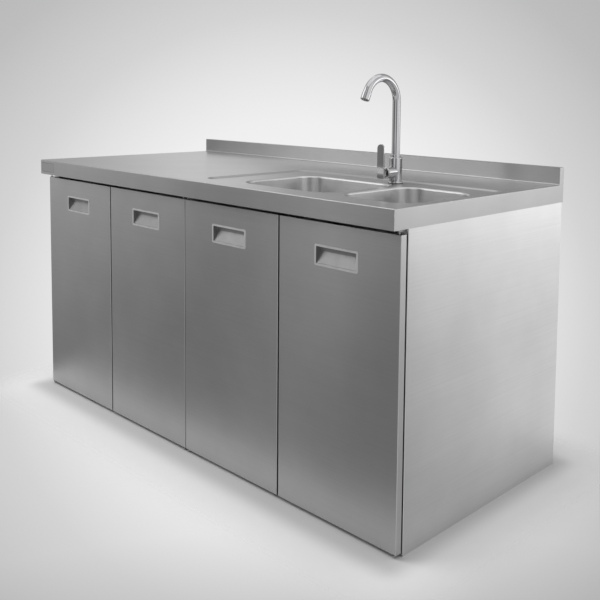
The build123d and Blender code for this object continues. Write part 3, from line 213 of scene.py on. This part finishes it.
def leaning(tree, place, sizes, slope):
    """The surface's normal, leaned over by up to about the given slope. The slow random waves
    have the given sizes along X, Y and Z, and the noise strays up to 0.25 from its middle, 0.5."""
    waves = add_node(tree, "ShaderNodeMapping", {"Vector": place,
                                                 "Scale": [1 / size for size in sizes]})
    noise = add_node(tree, "ShaderNodeTexNoise", {"Vector": waves.outputs[0], "Scale": 1.0,
                                                  "Detail": 1.0})
    normal = add_node(tree, "ShaderNodeNewGeometry").outputs["Normal"]
    stray = add_node(tree, "ShaderNodeVectorMath", {0: noise.outputs["Color"],
                                                    1: (0.5, 0.5, 0.5)}, operation="SUBTRACT")
    leaned = add_node(tree, "ShaderNodeVectorMath", {0: stray.outputs[0],
                                                     1: [slope / 0.25] * 3,
                                                     2: normal}, operation="MULTIPLY_ADD")
    return add_node(tree, "ShaderNodeVectorMath", {0: leaned.outputs[0]},
                    operation="NORMALIZE").outputs[0]


def brushed_stainless(name, base, grain, drawn):
    """Brushed stainless steel sheet. The belt leaves fine parallel lines along the grain, which
    draw a reflection out across them, and rolling and folding leave the sheet faintly wavy.
    Real lines are about 0.1 mm apart. That is too fine to show, so the drawn ones are 2.2 mm
    apart, with finer ones among them down to an eighth of that."""
    finishes = bpy.context.scene.sink_finishes
    material, tree, place = new_material(name)
    lines = pattern(tree, place, [finishes.brush_run if axis == grain else finishes.brush_line
                                  for axis in "XYZ"],
                    low=0.965, high=1.03, detail=3.0, roughness=0.7)
    haze = pattern(tree, place, [182 * MM] * 3, low=0.96, high=1.03, detail=3.0, roughness=0.55)
    both = add_node(tree, "ShaderNodeMath", {0: lines, 1: haze}, operation="MULTIPLY")
    shade = add_node(tree, "ShaderNodeVectorMath", {0: base, "Scale": both.outputs[0]},
                     operation="SCALE")
    tangent = add_node(tree, "ShaderNodeVectorTransform", {0: drawn}, vector_type="VECTOR",
                       convert_from="OBJECT", convert_to="WORLD")
    shader = add_node(tree, "ShaderNodeBsdfPrincipled", {
        "Base Color": shade.outputs[0], "Metallic": 1.0, "Anisotropic": 0.93,
        "Roughness": 0.28, "Tangent": tangent.outputs[0],
        "Normal": leaning(tree, place, (294 * MM, 294 * MM, 769 * MM), slope=0.008)})
    add_node(tree, "ShaderNodeOutputMaterial", {"Surface": shader.outputs[0]})
    return material


def pressed_bowl(name, base, below):
    """Deep-drawn and satin-polished stainless steel. The polish runs round the bowl, so a
    reflection on its walls is drawn out upright, and on its floor away from the middle. Both
    are the direction away from a point far below the middle. The polish lines are drawn 1.67 mm
    apart, because real ones are too fine to show."""
    material, tree, place = new_material(name)
    lines = pattern(tree, place, (111 * MM, 111 * MM, 1.67 * MM), low=0.97, high=1.02)
    cloud = pattern(tree, place, [91 * MM] * 3, low=0.94, high=1.04)
    both = add_node(tree, "ShaderNodeMath", {0: lines, 1: cloud}, operation="MULTIPLY")
    shade = add_node(tree, "ShaderNodeVectorMath", {0: base, "Scale": both.outputs[0]},
                     operation="SCALE")
    away = add_node(tree, "ShaderNodeVectorMath", {0: place, 1: below}, operation="SUBTRACT")
    tangent = add_node(tree, "ShaderNodeVectorTransform", {0: away.outputs[0]},
                       vector_type="VECTOR", convert_from="OBJECT", convert_to="WORLD")
    shader = add_node(tree, "ShaderNodeBsdfPrincipled", {
        "Base Color": shade.outputs[0], "Metallic": 1.0, "Anisotropic": 0.75,
        "Roughness": 0.36, "Tangent": tangent.outputs[0],
        "Normal": leaning(tree, place, (111 * MM, 111 * MM, 500 * MM), slope=0.02)})
    add_node(tree, "ShaderNodeOutputMaterial", {"Surface": shader.outputs[0]})
    return material


def finger_cup(name, scoop, frame_highlight_tone, face):
    """Satin pressed stainless steel cup, faintly cloudy. Its frame, which lies in front of the
    given Y, has a lighter colour, a painted highlight for the light that its raised lip catches."""
    material, tree, place = new_material(name)
    cloud = pattern(tree, place, [33.3 * MM] * 3, low=0.93, high=1.05)
    apart = add_node(tree, "ShaderNodeSeparateXYZ", {0: place})
    # Mask of the frame, where the lighter colour is a painted highlight
    front = add_node(tree, "ShaderNodeMath", {0: apart.outputs["Y"], 1: face},
                     operation="LESS_THAN")
    tone = add_node(tree, "ShaderNodeMix", {"Factor": front.outputs[0], "A": rgba(scoop),
                                            "B": rgba(frame_highlight_tone)}, data_type="RGBA")
    shade = add_node(tree, "ShaderNodeVectorMath", {0: tone.outputs["Result"], "Scale": cloud},
                     operation="SCALE")
    tangent = add_node(tree, "ShaderNodeVectorTransform", {0: UPRIGHT}, vector_type="VECTOR",
                       convert_from="OBJECT", convert_to="WORLD")
    shader = add_node(tree, "ShaderNodeBsdfPrincipled", {
        "Base Color": shade.outputs[0], "Metallic": 1.0, "Anisotropic": 0.5,
        "Roughness": 0.46, "Tangent": tangent.outputs[0]})
    add_node(tree, "ShaderNodeOutputMaterial", {"Surface": shader.outputs[0]})
    return material


def etched_plate(name, base, middle, half):
    """Satin aluminium plate, bare apart from a fine dull line etched round it. The line is where
    the distance in from the nearest edge is 1.5 to 2.4 mm."""
    line_inset, line_half_width, line_tone = 1.95 * MM, 0.45 * MM, 0.35
    material, tree, place = new_material(name)
    from_middle = add_node(tree, "ShaderNodeVectorMath", {0: place, 1: middle},
                           operation="SUBTRACT")
    folded = add_node(tree, "ShaderNodeVectorMath", {0: from_middle.outputs[0]},
                      operation="ABSOLUTE")
    inside = add_node(tree, "ShaderNodeVectorMath", {0: half, 1: folded.outputs[0]},
                      operation="SUBTRACT")
    apart = add_node(tree, "ShaderNodeSeparateXYZ", {0: inside.outputs[0]})
    edge = add_node(tree, "ShaderNodeMath", {0: apart.outputs["X"], 1: apart.outputs["Z"]},
                    operation="MINIMUM")
    line = add_node(tree, "ShaderNodeMath", {0: edge.outputs[0], 1: line_inset,
                                             2: line_half_width}, operation="COMPARE")
    tone = add_node(tree, "ShaderNodeMix", {"Factor": line.outputs[0], "A": rgba(base),
                                            "B": rgba(base, line_tone)}, data_type="RGBA")
    shader = add_node(tree, "ShaderNodeBsdfPrincipled", {
        "Base Color": tone.outputs["Result"], "Metallic": 1.0,
        "Roughness": pattern(tree, place, [16.7 * MM] * 3, low=0.4, high=0.5)})
    add_node(tree, "ShaderNodeOutputMaterial", {"Surface": shader.outputs[0]})
    return material


def satin_metal(name, base, roughness, uneven=0.05):
    """Pressed, plated or mill-finished metal: even, faintly mottled, with soft reflections. Its
    grain is drawn 1.2 mm wide, because the real grain is too fine to show."""
    material, tree, place = new_material(name)
    grain = pattern(tree, place, [1.2 * MM] * 3, low=roughness - uneven, high=roughness + uneven)
    cloud = pattern(tree, place, [143 * MM] * 3, low=0.94, high=1.04)
    shade = add_node(tree, "ShaderNodeVectorMath", {0: base, "Scale": cloud}, operation="SCALE")
    shader = add_node(tree, "ShaderNodeBsdfPrincipled", {
        "Base Color": shade.outputs[0], "Metallic": 1.0, "Roughness": grain})
    add_node(tree, "ShaderNodeOutputMaterial", {"Surface": shader.outputs[0]})
    return material


def moulded_plastic(name, base, roughness):
    """Injection-moulded plastic or rubber: matt to satin, with the mould's spark texture. The
    texture is drawn 0.9 mm wide and 0.04 mm deep, because the real one is too fine to show."""
    material, tree, place = new_material(name)
    sparks = add_node(tree, "ShaderNodeTexNoise", {"Vector": place, "Scale": 1 / (0.9 * MM),
                                                   "Detail": 2.0})
    bump = add_node(tree, "ShaderNodeBump", {"Height": sparks.outputs["Fac"], "Strength": 0.5,
                                             "Distance": 0.04 * MM})
    cloud = pattern(tree, place, [55.6 * MM] * 3, low=0.95, high=1.02, detail=1.0)
    shade = add_node(tree, "ShaderNodeVectorMath", {0: base, "Scale": cloud}, operation="SCALE")
    shader = add_node(tree, "ShaderNodeBsdfPrincipled", {
        "Base Color": shade.outputs[0], "Roughness": roughness, "Normal": bump.outputs[0]})
    add_node(tree, "ShaderNodeOutputMaterial", {"Surface": shader.outputs[0]})
    return material


def dress(material, *nodes):
    """Gives CAD nodes a material in every slot."""
    for name in nodes:
        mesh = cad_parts[name].data
        if mesh.materials:
            for i in range(len(mesh.materials)):
                mesh.materials[i] = material
        else:
            mesh.materials.append(material)


class SINKUNIT_OT_worktop(bpy.types.Operator):
    """Worktop and bare plate"""
    bl_idname = "sinkunit.worktop"
    bl_label = "Worktop"

    def execute(self, context):
        finishes = context.scene.sink_finishes
        dress(brushed_stainless("brushed_stainless_worktop", finishes.worktop_steel, "X",
                                UP_AND_BACK), "worktop")
        low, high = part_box("name_plate")
        middle = [(a + b) / 2 for a, b in zip(low, high)]
        half = [(b - a) / 2 for a, b in zip(low, high)]
        dress(etched_plate("etched_aluminium_plate", finishes.plate_metal, middle, half),
              "name_plate")
        return {"FINISHED"}


class SINKUNIT_OT_bowls(bpy.types.Operator):
    """Pressed bowls"""
    bl_idname = "sinkunit.bowls"
    bl_label = "Bowls"

    def execute(self, context):
        finishes = context.scene.sink_finishes
        for side in ("left", "right"):
            low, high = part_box(f"strainer_body_{side}")
            far_below = ((low[0] + high[0]) / 2, (low[1] + high[1]) / 2, -3.0)
            dress(pressed_bowl(f"satin_pressed_stainless_bowl_{side}", finishes.bowl_steel,
                               far_below), f"bowl_{side}")
        return {"FINISHED"}


class SINKUNIT_OT_carcass(bpy.types.Operator):
    """Side panels, shelves, rails, stiffeners, back, feet and catches"""
    bl_idname = "sinkunit.carcass"
    bl_label = "Carcass"

    def execute(self, context):
        finishes = context.scene.sink_finishes
        dress(brushed_stainless("brushed_stainless_panel", finishes.panel_steel, "Y", UPRIGHT),
              "side_panel_left", "side_panel_right")
        dress(satin_metal("mill_finished_steel", finishes.carcass_steel, roughness=0.42),
              "worktop_stiffeners", "centre_partition", "back_panel", "base_shelf",
              "front_rail", "rear_rail", "middle_shelf")
        dress(moulded_plastic("moulded_black_plastic", finishes.black_plastic, roughness=0.5),
              "centre_feet", "door_catches", "waste_locknuts")
        return {"FINISHED"}


class SINKUNIT_OT_doors(bpy.types.Operator):
    """Doors with finger cups and bushes, and the zinc-plated small parts"""
    bl_idname = "sinkunit.doors"
    bl_label = "Doors"

    def execute(self, context):
        finishes = context.scene.sink_finishes
        skin = brushed_stainless("brushed_stainless_door", finishes.door_steel, "X", UPRIGHT)
        liner = bpy.data.materials["mill_finished_steel"]    # made with the carcass
        cup_frame_depth = 0.8 * MM
        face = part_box("door_1_cup")[0][1] + cup_frame_depth
        # The cup's frame gets a lighter colour, a painted highlight
        cup = finger_cup("satin_pressed_stainless_cup", finishes.cup_steel,
                         finishes.cup_frame_highlight_steel, face)
        # Dark bushes: partly their own colour, partly painted shade for the door gaps
        bush = moulded_plastic("dark_nylon", finishes.nylon, roughness=0.45)
        for k in (1, 2, 3, 4):
            dress(skin, f"door_{k}_skin")
            dress(liner, f"door_{k}_liner")
            dress(cup, f"door_{k}_cup")
            dress(bush, f"door_{k}_bushes")
        dress(satin_metal("zinc_plated_steel", finishes.fastener_steel, roughness=0.38),
              "hinge_brackets_top", "hinge_brackets_bottom", "hinge_pins", "bracket_screws",
              "shelf_clips", "horseshoe_washer")
        return {"FINISHED"}


class SINKUNIT_OT_wastes(bpy.types.Operator):
    """Strainers, trap and pipes, and the rubber seals"""
    bl_idname = "sinkunit.wastes"
    bl_label = "Wastes and trap"

    def execute(self, context):
        finishes = context.scene.sink_finishes
        dress(satin_metal("polished_stainless_waste", finishes.waste_steel, roughness=0.16,
                          uneven=0.03),
              "strainer_body_left", "strainer_body_right", "strainer_basket_left",
              "strainer_basket_right")
        dress(moulded_plastic("moulded_polypropylene", finishes.pipe_plastic, roughness=0.35),
              "link_pipe", "tail_pipe", "drain_tee", "trap_body", "trap_cup", "outlet_pipe",
              "slip_nuts")
        dress(moulded_plastic("black_rubber", finishes.rubber, roughness=0.7),
              "waste_gaskets", "tap_gasket")
        return {"FINISHED"}


class SINKUNIT_OT_tap(bpy.types.Operator):
    """Mixer tap with swivel spout and lever"""
    bl_idname = "sinkunit.tap"
    bl_label = "Tap"

    def execute(self, context):
        finishes = context.scene.sink_finishes
        dress(satin_metal("polished_chromium_plate", finishes.chrome, roughness=0.07,
                          uneven=0.02),
              "tap_base_ring", "tap_body", "tap_bonnet", "tap_lever", "tap_spout",
              "tap_aerator")
        dress(satin_metal("turned_brass", finishes.brass, roughness=0.3), "tap_stud_and_nut")
        dress(satin_metal("turned_stainless_spindle", finishes.waste_steel, roughness=0.3),
              "tap_spindle")
        dress(moulded_plastic("acetal_cartridge", finishes.cartridge_plastic, roughness=0.3),
              "tap_cartridge")
        return {"FINISHED"}


def disc(name, radius):
    """Flat disc on the ground. A point is r * (cos a, sin a, 0), and one face fills the smallest
    ring, so there is no pole."""
    rings, spokes, smallest = 12, 96, 0.05
    r, a = np.meshgrid(np.linspace(smallest, radius, rings),
                       np.linspace(0, math.tau, spokes, endpoint=False), indexing="ij")
    points = np.stack([r * np.cos(a), r * np.sin(a), np.zeros_like(r)], -1)
    index = np.arange(rings * spokes).reshape(rings, spokes)
    after = np.roll(index, -1, axis=1)
    quads = np.stack([index[:-1], index[1:], after[1:], after[:-1]], -1)
    mesh = bpy.data.meshes.new(name)
    mesh.from_pydata(points.reshape(-1, 3).tolist(), [],
                     quads.reshape(-1, 4).tolist() + [index[0].tolist()])
    mesh.update()
    piece = bpy.data.objects.new(name, mesh)
    bpy.context.scene.collection.objects.link(piece)
    return piece


def pale_floor(name, base):
    """Matt painted floor. Right at the unit its colour is darkened, a painted contact shadow, and
    a short way off it turns clear, so that the backdrop shows. Both follow the distance from the
    unit's footprint, the length of max(|place| - half, 0), where half has 1.0 for Z to leave Z
    out."""
    material, tree, place = new_material(name)
    half = [abs(v) for v in cad_box[1][:2]] + [1.0]
    folded = add_node(tree, "ShaderNodeVectorMath", {0: place}, operation="ABSOLUTE")
    past = add_node(tree, "ShaderNodeVectorMath", {0: folded.outputs[0], 1: half},
                    operation="SUBTRACT")
    outside = add_node(tree, "ShaderNodeVectorMath", {0: past.outputs[0], 1: (0.0, 0.0, 0.0)},
                       operation="MAXIMUM")
    distance = add_node(tree, "ShaderNodeVectorMath", {0: outside.outputs[0]},
                        operation="LENGTH").outputs["Value"]
    cleared = add_node(tree, "ShaderNodeMapRange", {"Value": distance, "From Max": FLOOR_CLEARS},
                       interpolation_type="SMOOTHSTEP")
    # Painted contact shadow: the floor's colour darkened close to the unit
    painted_contact_shadow = add_node(tree, "ShaderNodeMapRange", {"Value": distance, "From Max": PAINTED_SHADOW_REACH,
                                                    "To Min": PAINTED_SHADOW_SHARE},
                       interpolation_type="SMOOTHSTEP")
    shade = add_node(tree, "ShaderNodeVectorMath", {0: base, "Scale": painted_contact_shadow.outputs[0]},
                     operation="SCALE")
    matt = add_node(tree, "ShaderNodeBsdfDiffuse", {"Color": shade.outputs[0]})
    clear = add_node(tree, "ShaderNodeBsdfTransparent")
    shader = add_node(tree, "ShaderNodeMixShader", {0: cleared.outputs[0], 1: matt.outputs[0],
                                                    2: clear.outputs[0]})
    add_node(tree, "ShaderNodeOutputMaterial", {"Surface": shader.outputs[0]})
    return material


def by_compass(stops):
    """A ramp's stops, made from stops whose places are compass angles, -180 to 180 degrees."""
    return [((degrees + 180) / 360, value) for degrees, value in stops]


def room_level(tree, way):
    """Level of the room in a direction. It follows the compass and falls off below the horizon.
    Above, it goes over into the ceiling, and below, into the levels near the floor. The patches
    make it lighter or darker round their own directions."""
    apart = add_node(tree, "ShaderNodeSeparateXYZ", {0: way})
    height = apart.outputs["Z"]
    compass = add_node(tree, "ShaderNodeMath", {0: apart.outputs["Y"], 1: apart.outputs["X"]},
                       operation="ARCTAN2")
    around = add_node(tree, "ShaderNodeMapRange", {"Value": compass.outputs[0],
                                                   "From Min": -math.pi,
                                                   "From Max": math.pi}).outputs[0]
    level = add_node(tree, "ShaderNodeValToRGB", {"Fac": around}, stops=by_compass(ROOM_LEVELS))
    upwards = add_node(tree, "ShaderNodeMapRange", {"Value": height, "From Min": -1.0})
    share = add_node(tree, "ShaderNodeValToRGB", {"Fac": upwards.outputs[0]},
                     stops=[((sine + 1) / 2, value) for sine, value in HEIGHT_SHARES])
    # Wall panels, sized as shares of the room's radius
    panels = pattern(tree, way, (0.25, 0.25, 1.25), low=0.93, high=1.07, detail=1.0)
    uneven = add_node(tree, "ShaderNodeMath", {0: share.outputs[0], 1: panels},
                      operation="MULTIPLY")
    walls = add_node(tree, "ShaderNodeVectorMath", {0: level.outputs[0],
                                                    "Scale": uneven.outputs[0]},
                     operation="SCALE")

    rise = add_node(tree, "ShaderNodeMapRange", {"Value": height,
                                                 "From Min": CEILING_HEIGHTS[0],
                                                 "From Max": CEILING_HEIGHTS[1],
                                                 "To Max": CEILING_SHARE},
                    interpolation_type="SMOOTHSTEP")
    with_ceiling = add_node(tree, "ShaderNodeMix", {"Factor": rise.outputs[0],
                                                    "A": walls.outputs[0], "B": rgba(CEILING)},
                            data_type="RGBA")

    high_start, low_start = (
        add_node(tree, "ShaderNodeMapRange", {"Value": height, "From Min": full, "From Max": none,
                                              "To Min": 1.0, "To Max": 0.0},
                 interpolation_type="SMOOTHSTEP") for full, none in (HIGH_START, LOW_START))
    begins = add_node(tree, "ShaderNodeValToRGB", {"Fac": around}, stops=by_compass(LOW_BEGINS))
    fall = add_node(tree, "ShaderNodeMix", {"Factor": begins.outputs[0],
                                            "A": high_start.outputs[0],
                                            "B": low_start.outputs[0]})
    low_level = add_node(tree, "ShaderNodeValToRGB", {"Fac": around},
                         stops=by_compass(LOW_LEVELS))
    with_low = add_node(tree, "ShaderNodeMix", {"Factor": fall.outputs["Result"],
                                                "A": with_ceiling.outputs["Result"],
                                                "B": low_level.outputs[0]}, data_type="RGBA")

    gain = 1.0
    for direction, inner, outer, most in PATCHES:
        facing = add_node(tree, "ShaderNodeVectorMath", {0: way, 1: direction},
                          operation="DOT_PRODUCT")
        patch = add_node(tree, "ShaderNodeMapRange", {"Value": facing.outputs["Value"],
                                                      "From Min": outer, "From Max": inner,
                                                      "To Min": 1.0, "To Max": most},
                         interpolation_type="SMOOTHSTEP")
        gain = add_node(tree, "ShaderNodeMath", {0: gain, 1: patch.outputs[0]},
                        operation="MULTIPLY").outputs[0]
    return add_node(tree, "ShaderNodeVectorMath", {0: with_low.outputs["Result"], "Scale": gain},
                    operation="SCALE").outputs[0]


def backdrop_level(tree, way):
    """How much of the backdrop shows in a direction, from 0 outside it to 1 inside, and its
    level there. It is lightest in the middle and a little darker towards the floor."""
    height = add_node(tree, "ShaderNodeSeparateXYZ", {0: way}).outputs["Z"]
    facing = add_node(tree, "ShaderNodeVectorMath", {0: way, 1: BACKDROP_MIDDLE},
                      operation="DOT_PRODUCT").outputs["Value"]
    ring = add_node(tree, "ShaderNodeMapRange", {"Value": facing, "From Min": BACKDROP_EDGE[1]})
    level = add_node(tree, "ShaderNodeValToRGB", {"Fac": ring.outputs[0]}, stops=BACKDROP_LEVELS)
    foot = add_node(tree, "ShaderNodeMapRange", {"Value": height, "From Min": BACKDROP_FOOT[0],
                                                 "From Max": BACKDROP_FOOT[1],
                                                 "To Min": BACKDROP_FOOT_SHARE})
    shade = add_node(tree, "ShaderNodeVectorMath", {0: level.outputs[0],
                                                    "Scale": foot.outputs[0]}, operation="SCALE")
    inside = add_node(tree, "ShaderNodeMapRange", {"Value": facing,
                                                   "From Min": BACKDROP_EDGE[0],
                                                   "From Max": BACKDROP_EDGE[1]},
                      interpolation_type="SMOOTHSTEP")
    below_top = add_node(tree, "ShaderNodeMapRange", {"Value": height,
                                                      "From Min": BACKDROP_TOP[0],
                                                      "From Max": BACKDROP_TOP[1],
                                                      "To Min": 1.0, "To Max": 0.0})
    shown = add_node(tree, "ShaderNodeMath", {0: inside.outputs[0], 1: below_top.outputs[0]},
                     operation="MULTIPLY")
    return shown.outputs[0], shade.outputs[0]


class SINKUNIT_OT_stage(bpy.types.Operator):
    """Pale floor, soft studio light and the camera"""
    bl_idname = "sinkunit.stage"
    bl_label = "Studio"

    def execute(self, context):
        scene = context.scene
        studio = scene.sink_studio
        scene.view_settings.view_transform = "Standard"
        floor = disc("floor", studio.floor_radius)
        floor.data.materials.append(pale_floor("pale_studio_floor", studio.floor_colour))
        self.world(scene)
        self.lamps(scene, studio)
        self.camera(scene, studio)
        return {"FINISHED"}

    def world(self, scene):
        """The room all round, with the backdrop in front of it. Both look the same to the camera
        and in reflections."""
        world = bpy.data.worlds.new("studio")
        world.use_nodes = True
        tree = world.node_tree
        tree.nodes.clear()
        way = add_node(tree, "ShaderNodeTexCoord").outputs["Generated"]
        shown, backdrop = backdrop_level(tree, way)
        whole = add_node(tree, "ShaderNodeMix", {"Factor": shown, "A": room_level(tree, way),
                                                 "B": backdrop}, data_type="RGBA")
        light = add_node(tree, "ShaderNodeBackground", {"Color": whole.outputs["Result"],
                                                        "Strength": 1.0})
        add_node(tree, "ShaderNodeOutputWorld", {"Surface": light.outputs[0]})
        scene.world = world

    def lamps(self, scene, studio):
        """Square lamps that the camera doesn't see. The one that lights the floor doesn't show
        in reflections either."""
        # Name, place, the point that it faces, side and watts
        lamps = (
            ("overhead_softbox", (0.2, 0.1, 3.4), (0.2, 0.0, 0.8), studio.softbox_size, 16.0),
            ("front_softbox", (-2.6, -2.5, 3.0), (0.0, 0.0, 0.5), 2.8, 28.0),
            ("rear_softbox", (2.96, 2.95, 1.1), (0.9, 0.1, 0.7), 1.5, 7.5),
            ("floor_wash", (-1.4, -1.6, 3.2), (-0.8, -1.2, 0.0), 1.8, 38.0),
        )
        for name, place, aim, side, watts in lamps:
            data = bpy.data.lights.new(name, "AREA")
            data.shape = "SQUARE"
            data.size = side
            data.energy = watts
            lamp = bpy.data.objects.new(name, data)
            lamp.location = place
            lamp.rotation_euler = (Vector(aim) - Vector(place)).to_track_quat("-Z", "Y").to_euler()
            lamp.visible_camera = False
            lamp.visible_glossy = name != "floor_wash"
            scene.collection.objects.link(lamp)

    def camera(self, scene, studio):
        """Camera turned by its yaw and pitch, then about its own axis by its roll."""
        data = bpy.data.cameras.new("camera")
        data.sensor_width = SENSOR_WIDTH
        data.lens = studio.focal_pixels / FRAME_PIXELS * data.sensor_width
        data.shift_x = (FRAME_PIXELS / 2 - AXIS_PIXEL[0]) / FRAME_PIXELS
        data.shift_y = (AXIS_PIXEL[1] - FRAME_PIXELS / 2) / FRAME_PIXELS
        yaw, pitch, roll = studio.camera_yaw, studio.camera_pitch, studio.camera_roll
        ahead = Vector((math.sin(yaw) * math.cos(pitch), math.cos(yaw) * math.cos(pitch),
                        math.sin(pitch)))
        right = Vector((math.cos(yaw), -math.sin(yaw), 0.0))
        up = right.cross(ahead)
        rolled_right = math.cos(roll) * right + math.sin(roll) * up
        rolled_up = math.cos(roll) * up - math.sin(roll) * right
        turn = Matrix((rolled_right, rolled_up, -ahead)).transposed()
        camera = bpy.data.objects.new("camera", data)
        camera.matrix_world = Matrix.Translation(studio.camera_place) @ turn.to_4x4()
        scene.collection.objects.link(camera)
        scene.camera = camera


class SINKUNIT_PT_panel(bpy.types.Panel):
    """Lists the unit's pieces"""
    bl_idname = "SINKUNIT_PT_panel"
    bl_label = "Sink Unit"
    bl_space_type = "VIEW_3D"
    bl_region_type = "UI"
    bl_category = "Sink Unit"

    def draw(self, context):
        for operator in OPERATORS:
            self.layout.operator(operator.bl_idname)


OPERATORS = (SINKUNIT_OT_worktop, SINKUNIT_OT_bowls, SINKUNIT_OT_carcass, SINKUNIT_OT_doors,
             SINKUNIT_OT_wastes, SINKUNIT_OT_tap, SINKUNIT_OT_stage)
CLASSES = (SINKUNIT_PG_finishes, SINKUNIT_PG_studio, *OPERATORS, SINKUNIT_PT_panel)


def register():
    for cls in CLASSES:
        bpy.utils.register_class(cls)
    bpy.types.Scene.sink_finishes = PointerProperty(type=SINKUNIT_PG_finishes)
    bpy.types.Scene.sink_studio = PointerProperty(type=SINKUNIT_PG_studio)


def unregister():
    del bpy.types.Scene.sink_studio
    del bpy.types.Scene.sink_finishes
    for cls in reversed(CLASSES):
        bpy.utils.unregister_class(cls)


def main():
    register()
    for operator in OPERATORS:
        group, name = operator.bl_idname.split(".")
        getattr(getattr(bpy.ops, group), name)()


if __name__ == "__main__":
    main()
